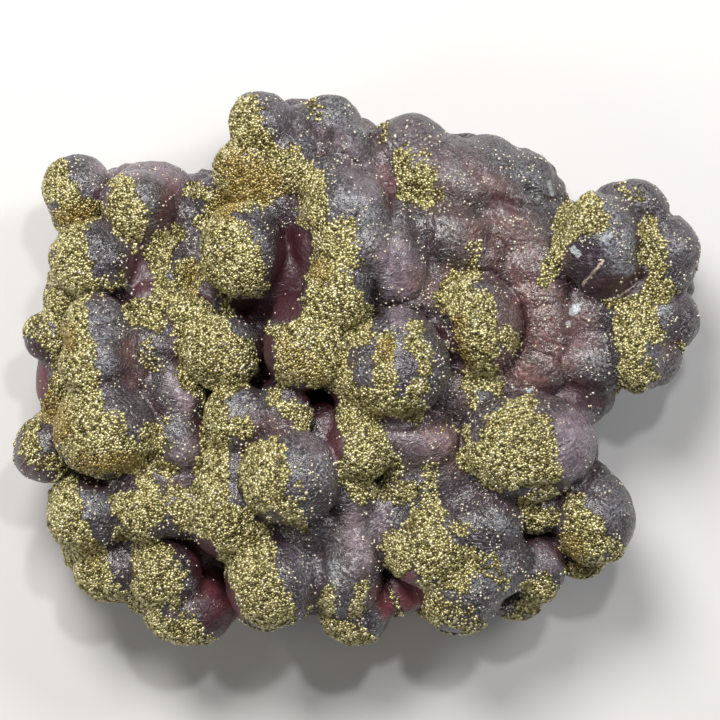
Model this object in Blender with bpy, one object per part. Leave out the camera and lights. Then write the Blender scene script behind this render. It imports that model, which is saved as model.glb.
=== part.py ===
"""Botryoidal fluorite specimen: one grown-together mass of grape-like bulbs.

It lies on the flat cut where it was taken off its rock, display face up.
+X runs to the right of the display face, +Y to its top, +Z out of it.
The origin is the middle of the bounding box at the height of the flat cut.
"""
import math

import bmesh
import bpy
from mathutils import Matrix, Vector

MM = 0.001

# Driving dimensions, in metres
SPECIMEN_WIDTH = 0.173
SPECIMEN_DEPTH = 0.140
STEM_SHARE = 0.72
STEM_FOOT_HEIGHT = 0.012
STEM_LEAN = 0.10
BEAD_DROP = 1.3
BEAD_LOWEST = 0.010
BEAD_SIDESTEP = 0.0016
BEAD_GROWTH = (0.94, 1.04, 0.88)
FLANK_COUNT = 26
FLANK_LOW = 0.001
FLANK_HIGH = 0.026
FLANK_INSET = 0.0025
FLANK_RADIUS = (0.0055, 0.0085)
GOLDEN_TURN = 2.39996
VOXEL_SIZE = 0.0018
SMOOTH_PASSES = 2
SMOOTH_FACTOR = 0.5
TARGET_TRIANGLES = 8600
CUT_DEPTH = 0.060
BULB_DETAIL = 3
BEAD_DETAIL = 2
STEM_SIDES = 14

# Each bulb in millimetres: centre x, y and z, half width along X, half width along Y
LEFT_BULBS = [
    (-70.5, 46.0, 36, 8.3, 8.3),
    (-71.5, 40.0, 34, 6.0, 6.0),
    (-55.0, 41.3, 43, 8.8, 8.8),
    (-54.0, 33.3, 40, 5.5, 6.0),
    (-52.5, 41.5, 29, 11.5, 11.3),
    (-45.8, 45.0, 29, 5.5, 6.0),
    (-66.5, 28.3, 44, 10.3, 9.7),
    (-57.0, 24.0, 38, 6.0, 6.0),
    (-72.5, 18.3, 34, 7.0, 7.0),
    (-52.0, 17.0, 42, 5.5, 5.5),
    (-42.5, 13.3, 43, 6.3, 6.3),
    (-48.3, 26.5, 38, 6.0, 6.0),
    (-41.5, 39.0, 34, 5.0, 5.0),
    (-35.8, 44.0, 38, 5.0, 5.0),
    (-38.3, 30.3, 34, 7.0, 7.0),
    (-47.0, 21.8, 40, 4.5, 4.5),
    (-65.3, 10.8, 47, 8.3, 8.3),
    (-65.8, 1.5, 50, 8.5, 8.5),
    (-78.0, 8.3, 34, 6.0, 6.0),
    (-75.0, -3.0, 29, 7.0, 8.5),
    (-63.3, -14.5, 48, 12.3, 12.0),
    (-79.0, -20.0, 34, 8.0, 8.0),
    (-45.3, -17.3, 43, 8.0, 8.0),
    (-50.5, 6.5, 43, 6.5, 6.5),
    (-46.5, -5.5, 40, 8.5, 9.5),
    (-34.0, 4.8, 48, 9.8, 9.2),
    (-68.0, -35.8, 38, 10.4, 10.0),
    (-58.3, -28.5, 40, 4.5, 4.5),
    (-62.8, -50.0, 32, 8.5, 8.5),
    (-53.0, -34.3, 43, 8.0, 8.0),
    (-44.0, -34.3, 43, 7.0, 7.5),
    (-48.3, -51.0, 38, 8.8, 8.8),
    (-42.8, -60.3, 31, 11.8, 9.4),
    (-32.5, -35.3, 47, 10.0, 12.0),
]
CENTRE_BULBS = [
    (-24.0, 61.8, 46, 8.0, 8.0),
    (-15.0, 59.0, 41, 7.5, 7.5),
    (-7.3, 61.7, 39, 7.8, 7.6),
    (-2.5, 59.0, 35, 5.0, 5.0),
    (-28.0, 50.0, 44, 7.8, 8.0),
    (-17.0, 50.8, 48, 5.5, 5.5),
    (-19.0, 44.0, 42, 5.0, 5.0),
    (-3.3, 55.5, 44, 6.5, 6.5),
    (3.0, 49.8, 42, 6.0, 6.0),
    (-3.3, 39.8, 54, 9.8, 10.0),
    (-8.3, 47.0, 51, 6.0, 6.0),
    (-2.0, 29.8, 57, 8.5, 8.5),
    (6.8, 27.3, 51, 9.0, 9.0),
    (10.5, 36.5, 46, 7.0, 7.0),
    (-28.8, 30.3, 50, 10.4, 11.8),
    (-18.3, 25.3, 41, 8.0, 9.0),
    (-13.3, 6.0, 58, 10.0, 10.6),
    (-5.8, 19.0, 60, 8.5, 8.5),
    (-14.5, 13.5, 55, 6.0, 6.0),
    (9.3, 0.8, 58, 13.5, 13.0),
    (0.5, -18.5, 55, 8.0, 9.0),
    (-2.0, -29.8, 50, 6.0, 7.0),
    (13.5, -17.3, 50, 9.0, 8.0),
    (15.5, -27.3, 46, 9.0, 8.5),
    (-30.0, -11.8, 50, 8.3, 8.3),
    (-18.3, -9.8, 53, 7.0, 7.0),
    (-16.5, -26.5, 57, 12.3, 12.0),
    (-8.3, -14.8, 45, 6.0, 8.0),
    (-21.5, -52.8, 46, 11.8, 11.8),
    (-3.3, -51.0, 44, 9.3, 10.0),
    (-2.0, -41.3, 44, 8.0, 8.0),
    (-0.8, -60.3, 37, 8.7, 8.3),
    (11.0, -54.8, 36, 6.0, 7.0),
    (9.3, -43.5, 46, 4.5, 4.5),
    (5.5, -36.3, 44, 8.0, 7.5),
]
RIGHT_BULBS = [
    (12.5, 55.5, 37, 9.8, 9.5),
    (14.3, 47.3, 43, 7.5, 7.5),
    (24.3, 46.5, 41, 8.5, 8.5),
    (32.5, 49.6, 33, 10.3, 10.0),
    (44.0, 48.0, 31, 5.6, 6.0),
    (22.5, 34.0, 43, 9.3, 9.0),
    (36.8, 36.0, 37, 9.0, 8.0),
    (46.3, 36.5, 31, 7.5, 6.2),
    (43.0, 24.3, 33, 13.0, 12.0),
    (46.8, 10.3, 31, 13.5, 13.0),
    (41.8, -1.0, 36, 10.0, 9.0),
    (29.8, 11.5, 47, 10.3, 12.5),
    (29.8, 27.8, 41, 6.0, 6.0),
    (21.8, -5.5, 44, 8.0, 8.0),
    (61.3, 31.5, 46, 10.5, 13.5),
    (70.5, 40.5, 38, 8.0, 8.0),
    (77.3, 29.3, 40, 8.5, 10.5),
    (80.5, 12.8, 36, 6.0, 7.0),
    (76.3, 14.5, 41, 4.5, 5.0),
    (70.0, 6.5, 40, 7.5, 11.5),
    (75.5, 3.0, 36, 6.0, 6.5),
    (59.3, 2.3, 38, 8.0, 8.0),
    (58.3, -7.0, 31, 6.3, 6.3),
    (60.5, 12.8, 38, 5.0, 5.0),
    (42.3, -19.0, 47, 16.8, 13.6),
    (59.3, -36.8, 40, 10.6, 11.5),
    (57.5, -28.5, 36, 6.0, 6.0),
    (56.5, -47.0, 31, 6.0, 5.2),
    (45.0, -34.8, 43, 5.5, 5.0),
    (17.5, -43.5, 48, 10.3, 11.0),
    (26.0, -54.3, 42, 10.8, 12.0),
    (30.5, -38.5, 46, 10.0, 9.0),
    (35.5, -48.5, 44, 8.5, 8.0),
    (45.5, -49.8, 38, 6.8, 8.5),
    (39.5, -58.0, 32, 6.5, 5.0),
]
BULBS = LEFT_BULBS + CENTRE_BULBS + RIGHT_BULBS

# The buried heart of the mass in millimetres: centre x, y and z, half sizes along X, Y and Z
HEARTS = [
    (-57, 24, 14, 18, 25, 28),
    (-57, -6, 14, 20, 26, 30),
    (-51, -35, 14, 24, 24, 27),
    (-37, 14, 12, 14, 33, 29),
    (-7, 25, 15, 27, 37, 34),
    (-9, -31, 14, 27, 28, 33),
    (13, -12, 12, 20, 22, 36),
    (35, 11, 14, 26, 35, 28),
    (31, -34, 14, 27, 23, 29),
    (47, -30, 12, 10, 19, 24),
    (67, 22, 14, 14, 18, 25),
    (26, 41, 14, 23, 13, 25),
    (-14, 51, 14, 12, 13, 26),
]

# Low bodies that fill the gaps between the bulbs, in millimetres as above
SADDLES = [
    (17, 21, 42, 9, 12, 9),
    (25, -3, 41, 9, 10, 9),
    (21, -24, 43, 10, 12, 9),
    (26, -31, 41, 12, 8, 9),
    (30, -8, 40, 9, 9, 9),
    (5, 34, 47, 9, 9, 9),
    (4, 44, 42, 8, 8, 8),
    (-17, 55, 43, 9, 7, 8),
    (28, 42, 36, 12, 9, 10),
    (-57.5, 2, 40, 6, 14, 8),
    (-50, -26, 38, 14, 6, 8),
    (-31, -24, 46, 7, 9, 8),
    (-11, -38, 44, 11, 9, 9),
    (10, -38, 42, 8, 8, 8),
    (-3, 3, 52, 7, 11, 10),
    (2, -10, 52, 8, 7, 8),
    (-9, 32, 47, 8, 10, 8),
    (-36, 21, 36, 8, 8, 7),
    (-24, -33, 47, 8, 8, 8),
    (36, -30, 40, 10, 8, 9),
    (53, -8, 34, 8, 8, 8),
    (60, 16, 36, 9, 8, 8),
    (-19.5, 42, 43, 7, 8, 7),
    (67, 19, 38, 8, 8, 8),
    (9, 16, 44, 8, 7, 8),
    (-27, -7, 6, 9, 9, 10),
    (69, 24, 38, 6, 7, 8),
]


def bulb_height(half_x, half_y):
    """A bulb stands out of the face about as far as it is wide."""
    return (half_x + half_y) / 2


def add_ellipsoid(shape, centre, half_sizes, detail=BULB_DETAIL):
    """One rounded body, added to the mesh under construction."""
    place = Matrix.Translation(centre) @ Matrix.Diagonal((*half_sizes, 1))
    bmesh.ops.create_icosphere(shape, subdivisions=detail, radius=1, matrix=place)


def add_stem(shape, top, top_radius, foot, foot_radius):
    """The tapering stem that a bulb grew on, from the heart up to the bulb."""
    axis = Vector(top) - Vector(foot)
    turn = axis.to_track_quat("Z", "Y").to_matrix().to_4x4()
    middle = (Vector(top) + Vector(foot)) / 2
    bmesh.ops.create_cone(
        shape,
        cap_ends=True,
        segments=STEM_SIDES,
        radius1=foot_radius,
        radius2=top_radius,
        depth=axis.length,
        matrix=Matrix.Translation(middle) @ turn,
    )


def add_bulb(shape, order, x, y, z, half_x, half_y):
    """A bulb on its stem, which leans to the middle of the mass and is hung with older bulbs."""
    radius = bulb_height(half_x, half_y)
    add_ellipsoid(shape, (x, y, z), (half_x, half_y, radius))
    top = Vector((x, y, z))
    foot = Vector((x * (1 - STEM_LEAN), y * (1 - STEM_LEAN), STEM_FOOT_HEIGHT))
    stem_radius = min(half_x, half_y) * STEM_SHARE
    add_stem(shape, top, stem_radius, foot, stem_radius)
    sideways = Vector((-y, x, 0)).normalized()
    bead = 1
    while z - bead * BEAD_DROP * radius > BEAD_LOWEST:
        share = bead * BEAD_DROP * radius / (z - STEM_FOOT_HEIGHT)
        side = BEAD_SIDESTEP * (1 if (order + bead) % 2 else -1)
        growth = BEAD_GROWTH[(order + bead) % len(BEAD_GROWTH)]
        centre = top.lerp(foot, min(share, 1)) + sideways * side
        half_sizes = (half_x * growth, half_y * growth, radius * growth)
        add_ellipsoid(shape, centre, half_sizes, BEAD_DETAIL)
        bead += 1


def add_heart(shape, x, y, z, half_x, half_y, half_z):
    """A buried body of the mass, whose sides near the flat cut are covered with bulbs."""
    add_ellipsoid(shape, (x, y, z), (half_x, half_y, half_z))
    small, large = FLANK_RADIUS
    for step in range(FLANK_COUNT):
        turn = step * GOLDEN_TURN
        height = FLANK_LOW + (FLANK_HIGH - FLANK_LOW) * (step + 0.5) / FLANK_COUNT
        slice_share = math.sqrt(max(0, 1 - ((height - z) / half_z) ** 2))
        reach_x = half_x * slice_share - FLANK_INSET
        reach_y = half_y * slice_share - FLANK_INSET
        radius = small + (large - small) * (step * 0.618 % 1)
        centre = (x + reach_x * math.cos(turn), y + reach_y * math.sin(turn), height)
        add_ellipsoid(shape, centre, (radius, radius, radius), BEAD_DETAIL)


def rough_mass():
    """All bulbs, stems, saddles and hearts as overlapping closed bodies in one mesh."""
    shape = bmesh.new()
    for order, row in enumerate(BULBS):
        x, y, z, half_x, half_y = (value * MM for value in row)
        add_bulb(shape, order, x, y, z, half_x, half_y)
    for row in SADDLES:
        x, y, z, half_x, half_y, half_z = (value * MM for value in row)
        add_ellipsoid(shape, (x, y, z), (half_x, half_y, half_z), BEAD_DETAIL)
    for row in HEARTS:
        add_heart(shape, *(value * MM for value in row))
    mesh = bpy.data.meshes.new("rough_mass")
    shape.to_mesh(mesh)
    shape.free()
    return mesh


def add_object(name, mesh):
    item = bpy.data.objects.new(name, mesh)
    bpy.context.scene.collection.objects.link(item)
    return item


def evaluated_mesh(item):
    """The mesh that an object's modifiers give, as a mesh of its own."""
    graph = bpy.context.evaluated_depsgraph_get()
    return bpy.data.meshes.new_from_object(item.evaluated_get(graph))


def islands(shape):
    """The separate connected shells of a mesh, as lists of vertices."""
    unseen = set(shape.verts)
    found = []
    while unseen:
        start = unseen.pop()
        island = [start]
        waiting = [start]
        while waiting:
            corner = waiting.pop()
            for edge in corner.link_edges:
                other = edge.other_vert(corner)
                if other in unseen:
                    unseen.remove(other)
                    island.append(other)
                    waiting.append(other)
        found.append(island)
    return found


def outer_skin(mesh):
    """Keeps the outermost shell, so that no sealed pocket is left between stems."""
    shape = bmesh.new()
    shape.from_mesh(mesh)
    for island in sorted(islands(shape), key=len)[:-1]:
        bmesh.ops.delete(shape, geom=island, context="VERTS")
    shape.to_mesh(mesh)
    shape.free()


def fused_mass():
    """The bodies grown into one skin, with softened creases between the bulbs."""
    rough = add_object("rough_mass", rough_mass())
    remesh = rough.modifiers.new("grow_together", "REMESH")
    remesh.mode = "VOXEL"
    remesh.voxel_size = VOXEL_SIZE
    remesh.adaptivity = 0
    smooth = rough.modifiers.new("soften", "SMOOTH")
    smooth.factor = SMOOTH_FACTOR
    smooth.iterations = SMOOTH_PASSES
    mesh = evaluated_mesh(rough)
    bpy.data.objects.remove(rough)
    outer_skin(mesh)
    return mesh


def cut_block():
    """The block below the bottom plane, which takes off everything under the flat cut."""
    shape = bmesh.new()
    size = Matrix.Diagonal((SPECIMEN_WIDTH * 2, SPECIMEN_DEPTH * 2, CUT_DEPTH, 1))
    place = Matrix.Translation((0, 0, -CUT_DEPTH / 2)) @ size
    bmesh.ops.create_cube(shape, size=1, matrix=place)
    mesh = bpy.data.meshes.new("cut_block")
    shape.to_mesh(mesh)
    shape.free()
    block = add_object("cut_block", mesh)
    block.hide_render = True
    block.display_type = "WIRE"
    return block


def fluorite_material():
    """Dull purple-grey fluorite with the satin gloss of fine crystal faces."""
    material = bpy.data.materials.new("fluorite")
    material.use_nodes = True
    shader = material.node_tree.nodes["Principled BSDF"]
    shader.inputs["Base Color"].default_value = (0.14, 0.10, 0.15, 1)
    shader.inputs["Roughness"].default_value = 0.4
    shader.inputs["Metallic"].default_value = 0
    return material


def make_fluorite_mass():
    mass = add_object("fluorite_mass", fused_mass())
    mass.data.name = "fluorite_mass"
    mass.data.materials.append(fluorite_material())
    triangles = sum(len(face.vertices) - 2 for face in mass.data.polygons)
    decimate = mass.modifiers.new("facet", "DECIMATE")
    decimate.ratio = min(1, TARGET_TRIANGLES / triangles)
    cut = mass.modifiers.new("flat_cut", "BOOLEAN")
    cut.operation = "DIFFERENCE"
    cut.solver = "EXACT"
    cut.object = cut_block()
    mass.data.shade_smooth()
    return mass


def main():
    for item in list(bpy.data.objects):
        bpy.data.objects.remove(item)
    make_fluorite_mass()


main()
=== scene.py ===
"""Looks of the fluorite and pyrite specimen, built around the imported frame.

The specimen lies on its flat cut back with its display face up, and the camera looks down on it.
Every body of the mass is listed in the frame's own axes. The fine skin of the fluorite follows a
smooth union of those bodies, and the pyrite crystals are scattered over that skin by rule.
"""
import math

import bmesh
import bpy
import numpy as np
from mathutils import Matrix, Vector, noise


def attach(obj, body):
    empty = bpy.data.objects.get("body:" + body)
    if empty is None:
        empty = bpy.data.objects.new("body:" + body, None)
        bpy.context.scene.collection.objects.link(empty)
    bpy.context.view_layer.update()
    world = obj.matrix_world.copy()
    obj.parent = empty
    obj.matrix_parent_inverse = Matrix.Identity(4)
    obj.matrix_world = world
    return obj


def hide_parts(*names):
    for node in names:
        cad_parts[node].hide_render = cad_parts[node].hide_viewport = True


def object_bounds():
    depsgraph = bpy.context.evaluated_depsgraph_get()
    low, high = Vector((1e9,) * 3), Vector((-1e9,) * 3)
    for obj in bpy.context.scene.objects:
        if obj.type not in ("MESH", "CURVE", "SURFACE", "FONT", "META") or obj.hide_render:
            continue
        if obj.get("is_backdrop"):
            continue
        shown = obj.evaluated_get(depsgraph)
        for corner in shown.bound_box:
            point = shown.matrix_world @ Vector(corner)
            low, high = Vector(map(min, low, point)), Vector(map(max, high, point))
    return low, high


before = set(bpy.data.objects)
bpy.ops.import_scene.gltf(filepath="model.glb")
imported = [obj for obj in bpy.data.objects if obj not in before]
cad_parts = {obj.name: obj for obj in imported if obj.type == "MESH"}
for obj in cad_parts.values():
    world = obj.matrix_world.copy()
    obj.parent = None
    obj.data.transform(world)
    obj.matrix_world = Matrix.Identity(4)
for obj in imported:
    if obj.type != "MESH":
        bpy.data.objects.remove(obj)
CAD_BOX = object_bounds()

MM = 0.001
SEED = 20

# Numbers that keep divisions and logarithms from failing
TINY = 1e-9
TINIEST = 1e-30
WEIGHT_LIMIT = 60

# The photograph's frame: 720 pixels across, a quarter of a millimetre a pixel at the bulbs' height
FRAME_PIXELS = 720
PIXEL_SIZE = 0.25 * MM
VIEW_CENTRE = (0.5 * MM, 2.75 * MM)
FACE_HEIGHT = 45 * MM
CAMERA_HEIGHT = 1.05
SENSOR_WIDTH = 36.0

# Growth of the mass, as in the solid
STEM_SHARE = 0.72
STEM_FOOT_HEIGHT = 12 * MM
STEM_LEAN = 0.10
BEAD_DROP = 1.3
BEAD_LOWEST = 10 * MM
BEAD_SIDESTEP = 1.6 * MM
BEAD_GROWTH = (0.94, 1.04, 0.88)
FLANK_COUNT = 26
FLANK_LOW = 1 * MM
FLANK_HIGH = 26 * MM
FLANK_INSET = 2.5 * MM
FLANK_RADIUS = (5.5 * MM, 8.5 * MM)
FLANK_TINT = 0.55
FLANK_GOLD_REACH = 58
FLANK_GOLD_BEARING = 215
GOLDEN_TURN = 2.39996
GOLDEN_SHARE = 0.618

# The skin's fineness, and the widths over which the bodies run into each other
VOXEL_SIZE = 1.00 * MM
CREASE_WIDTH = 0.95 * MM
SOFT_WIDTH = 2.8 * MM
SOFT_SOFTNESS = 16.0
TINT_WIDTH = 1.6 * MM
UNION_REACH = 8
TINT_REACH = 6
SNAP_STEPS = 3
SNAP_LIMIT = 1.2 * MM
HOLLOW_REACH = 3.5 * MM

# Relief of the skin. Lumps: size across, height, and which part of the noise they take
SKIN_LUMPS = ((11 * MM, 0.9 * MM, 0.0), (5 * MM, 0.45 * MM, 4.0), (2.4 * MM, 0.22 * MM, 7.0))
RIDGE_SPACING = 1.7 * MM
RIDGE_WANDER = 1.2 * MM
RIDGE_HEIGHT = 0.07 * MM
RIDGE_PATCHES = (-0.1, 0.3)
RING_MIDDLE = (0.35, 0.45, 0.8)
GROOVE_SOFTNESS = 5.0

# Broken faces: how wide their edge fades, and the small ledges on them
BREAK_FADE = 5
BREAK_EDGE = 0.8 * MM
LEDGE_SIZE = 2.2 * MM
LEDGE_STRETCH = (1, 0.35, 1)
LEDGE_LEVELS = 2.5
LEDGE_HEIGHT = 0.35 * MM
LEDGE_SHARE = 0.8

# The chipped band near the flat cut. Chips: size across, part of the noise, levels and share of a step
CHIP_BAND = (3 * MM, 13 * MM)
CHIP_RAGGED = 5 * MM
CHIP_STEP = 0.8 * MM
CHIP_SIZES = ((6 * MM, 13.0, 3, 1), (2.6 * MM, 17.0, 2, 0.5))
CHIP_GLOSS = 0.7

# Small growths on the flanks
COBBLE_SIZE = 6 * MM
COBBLE_HEIGHT = 3.2 * MM
COBBLE_BAND = (20 * MM, 34 * MM)
COBBLE_REST = 0.22

# Heights over which the looks drawn on the display face fade in, and how far a face may turn away
SEEN_BAND = (18 * MM, 26 * MM)
CREVICE_BAND = (4 * MM, 11 * MM)
CRISP_BAND = (26 * MM, 34 * MM)
FACING_BAND = (-0.1, 0.2)

# How softly strokes fade and how far their edges wander, in pixels of the photograph's frame
STROKE_MARGIN = 12
STROKE_WANDER = 5.0
WANDER_SOFTNESS = 8
PYRITE_SOFTNESS = 6.0
PYRITE_SPREAD = 2.0
HALO_SOFTNESS = 22.0
WINE_SOFTNESS = 4.0
CRISP_SOFTNESS = 0.8
CRISP_RAGGED = 5.0

# Pyrite: where it lies
GOLD_LIFT = math.radians(38)
GOLD_EDGE = math.radians(13)
BARE_MARGIN = -1.0
CLUMP_SHARE = 0.30
SOLID_COVER = 0.93
BARE_WINE = 0.9
COVER_BAND = (0.15, 0.90)
COVER_BIAS = 2.4
STRAY_CHANCE = 0.002
LONE_COVER = 0.35
LOWEST_GRAIN = 1.0 * MM

# Pyrite: the crystals
GRAIN_GAP = 0.46 * MM
GRAIN_SIZE = (0.48 * MM, 0.80 * MM)
GRAIN_SIZE_BIAS = 1.5
GRAIN_STRETCH = 0.5
GRAIN_FLATNESS = 0.35
GRAIN_LIFT = 0.14
LONE_GRAIN_SIZE = 0.64
LONE_TONE = 0.88
CROWD_TONE = 0.85
GRAINS_PER_PIECE = 16000
CANDIDATES_PER_AREA = 10.0e6
CUBE_CORNERS = np.array([(x, y, z) for z in (-1, 1) for y in (-1, 1) for x in (-1, 1)], float) / 2
CUBE_FACES = np.array([(0, 2, 3, 1), (4, 5, 7, 6), (0, 1, 5, 4), (2, 6, 7, 3), (0, 4, 6, 2), (1, 3, 7, 5)])

# Fluorite: its fine crystal skin
FLUORITE_IOR = 1.434
FACET_SIZE = 0.6 * MM
FACET_TILT = 0.4
WRINKLE_COUNT = 44.0
RING_SPACING = 1.3
BUMP_DEPTH = 0.5 * MM

# Colours as seen on a screen, from 0 to 255
SKIN_SHADES = ((40, 36, 40), (69, 64, 67))
CALM_SKIN = (80, 69, 76)
WARM_SKIN = (90, 73, 70)
FLANK_SKIN = (98, 66, 74)
MAUVE_SKIN = (132, 115, 124)
PINK_SKIN = (134, 88, 84)
# Painted sheen: pale bluish-grey where the lights' sheen falls on the skin
PAINTED_SHEEN = (142, 148, 152)
# Painted highlight along the wrinkles' ridges
WRINKLE_HIGHLIGHT = (150, 147, 150)
SPECK = (206, 200, 202)
# Painted shade in the hollows between bulbs, dark wine-red
HOLLOW_SHADE = (60, 32, 38)
BROKEN_SHADES = ((54, 40, 54), (150, 134, 144))
# Wine-red depths, and the lighter end a painted glow of light through thin walls
WINE_DEPTH_AND_GLOW = ((60, 18, 30), (122, 58, 66))
# Golden-brown ground under the pyrite, partly painted shade in the gaps between crystals
BED_AND_GAP_SHADE = ((48, 38, 14), (100, 86, 36))
CHIP_AND_HIGHLIGHT_PALE = (178, 186, 188)
SEAM_PALE = (196, 176, 158)
PYRITE_TONES = ((0.0, (84, 76, 44)), (0.3, (166, 156, 104)), (0.75, (222, 214, 166)), (0.9, (228, 218, 200)))
PYRITE_RUST = (156, 126, 58)

# The studio. Lights: name, place, width, power and colour
FLOOR_HALF_SIZE = 2.0
FLOOR_COLOUR = (0.62, 0.61, 0.60, 1)
SURROUND_COLOUR = (0.97, 0.98, 1.0, 1)
SURROUND_STRENGTH = 0.12
LIGHT_TARGET = (0, 0, 0.03)
LIGHTS = (
    ("key", (-0.18, 0.45, 0.80), 0.36, 8.8, (1.0, 0.99, 0.97)),
    ("side", (-0.60, -0.15, 0.50), 0.35, 1.3, (1.0, 0.97, 0.92)),
    ("sheen", (0.50, 0.30, 0.60), 0.20, 2.4, (0.97, 0.98, 1.0)),
    ("glint", (0.12, 0.30, 0.95), 0.06, 2.2, (1.0, 1.0, 1.0)),
)

# Each bulb: centre x, y, z, half width along X and along Y in millimetres, wine-red tint from 0 to 1,
# then how far the pyrite reaches round it in degrees, and the bearing of its middle (0 is +X, 90 is +Y)
LEFT_BULBS = [
    (-70.5, 46, 36, 8.3, 8.3, 0.25, 75, 215),
    (-71.5, 40, 34, 6, 6, 0.3, 110, 200),
    (-55, 41.3, 43, 8.8, 8.8, 0.45, 80, 205),
    (-54, 33.3, 40, 5.5, 6, 0.6, 60, 180),
    (-52.5, 41.5, 29, 11.5, 11.3, 0.95, 0, 0),
    (-45.8, 45, 29, 5.5, 6, 0.9, 0, 0),
    (-66.5, 28.3, 44, 10.3, 9.7, 0.3, 72, 190),
    (-57, 24, 38, 6, 6, 0.9, 20, 270),
    (-72.5, 18.3, 34, 7, 7, 0.3, 110, 230),
    (-52, 17, 42, 5.5, 5.5, 0.4, 100, 225),
    (-42.5, 13.3, 43, 6.3, 6.3, 0.4, 85, 225),
    (-48.3, 26.5, 38, 6, 6, 0.5, 75, 200),
    (-41.5, 39, 34, 5, 5, 0.6, 40, 225),
    (-35.8, 44, 38, 5, 5, 0.5, 85, 200),
    (-38.3, 30.3, 34, 7, 7, 0.6, 35, 180),
    (-47, 21.8, 40, 4.5, 4.5, 0.4, 90, 225),
    (-65.3, 10.8, 47, 8.3, 8.3, 0.3, 62, 195),
    (-65.8, 1.5, 50, 8.5, 8.5, 0.25, 78, 190),
    (-78, 8.3, 34, 6, 6, 0.7, 75, 120),
    (-75, -3, 29, 7, 8.5, 1, 0, 0),
    (-63.3, -14.5, 48, 12.3, 12, 0.2, 85, 215),
    (-79, -20, 34, 8, 8, 0.4, 60, 150),
    (-45.3, -17.3, 43, 8, 8, 0.35, 70, 215),
    (-50.5, 6.5, 43, 6.5, 6.5, 0.4, 45, 225),
    (-46.5, -5.5, 40, 8.5, 9.5, 0.7, 25, 225),
    (-34, 4.8, 48, 9.8, 9.2, 0.3, 82, 205),
    (-68, -35.8, 38, 10.4, 10, 0.3, 72, 180),
    (-58.3, -28.5, 40, 4.5, 4.5, 0.2, 20, 225),
    (-62.8, -50, 32, 8.5, 8.5, 0.3, 78, 215),
    (-53, -34.3, 43, 8, 8, 0.3, 100, 200),
    (-44, -34.3, 43, 7, 7.5, 0.4, 85, 215),
    (-48.3, -51, 38, 8.8, 8.8, 0.3, 78, 210),
    (-42.8, -60.3, 31, 11.8, 9.4, 0.8, 80, 235),
    (-32.5, -35.3, 47, 10, 12, 0.4, 105, 200),
]
CENTRE_BULBS = [
    (-24, 61.8, 46, 8, 8, 0.3, 68, 215),
    (-15, 59, 41, 7.5, 7.5, 0.3, 35, 225),
    (-7.3, 61.7, 39, 7.8, 7.6, 0.25, 45, 180),
    (-2.5, 59, 35, 5, 5, 0.3, 0, 0),
    (-28, 50, 44, 7.8, 8, 0.4, 130, 215),
    (-17, 50.8, 48, 5.5, 5.5, 0.3, 110, 225),
    (-19, 44, 42, 5, 5, 0.5, 60, 225),
    (-3.3, 55.5, 44, 6.5, 6.5, 0.3, 30, 225),
    (3, 49.8, 42, 6, 6, 0.55, 15, 225),
    (-3.3, 39.8, 54, 9.8, 10, 0.3, 78, 190),
    (-8.3, 47, 51, 6, 6, 0.3, 85, 200),
    (-2, 29.8, 57, 8.5, 8.5, 0.3, 85, 200),
    (6.8, 27.3, 51, 9, 9, 0.5, 0, 0),
    (10.5, 36.5, 46, 7, 7, 0.4, 0, 0),
    (-28.8, 30.3, 50, 10.4, 11.8, 0.15, 80, 215),
    (-18.3, 25.3, 41, 8, 9, 0.95, 30, 200),
    (-13.3, 6, 58, 10, 10.6, 0.3, 95, 190),
    (-5.8, 19, 60, 8.5, 8.5, 0.3, 90, 210),
    (-14.5, 13.5, 55, 6, 6, 0.3, 90, 190),
    (9.3, 0.8, 58, 13.5, 13, 0.35, 72, 215),
    (0.5, -18.5, 55, 8, 9, 0.4, 100, 210),
    (-2, -29.8, 50, 6, 7, 0.5, 60, 225),
    (13.5, -17.3, 50, 9, 8, 0.7, 25, 270),
    (15.5, -27.3, 46, 9, 8.5, 0.5, 75, 225),
    (-30, -11.8, 50, 8.3, 8.3, 0.35, 80, 205),
    (-18.3, -9.8, 53, 7, 7, 0.5, 40, 270),
    (-16.5, -26.5, 57, 12.3, 12, 0.3, 72, 195),
    (-8.3, -14.8, 45, 6, 8, 0.95, 20, 225),
    (-21.5, -52.8, 46, 11.8, 11.8, 0.3, 75, 195),
    (-3.3, -51, 44, 9.3, 10, 0.35, 30, 200),
    (-2, -41.3, 44, 8, 8, 0.4, 0, 0),
    (-0.8, -60.3, 37, 8.7, 8.3, 0.35, 70, 255),
    (11, -54.8, 36, 6, 7, 0.95, 60, 190),
    (9.3, -43.5, 46, 4.5, 4.5, 0.3, 80, 225),
    (5.5, -36.3, 44, 8, 7.5, 0.7, 25, 225),
]
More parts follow.
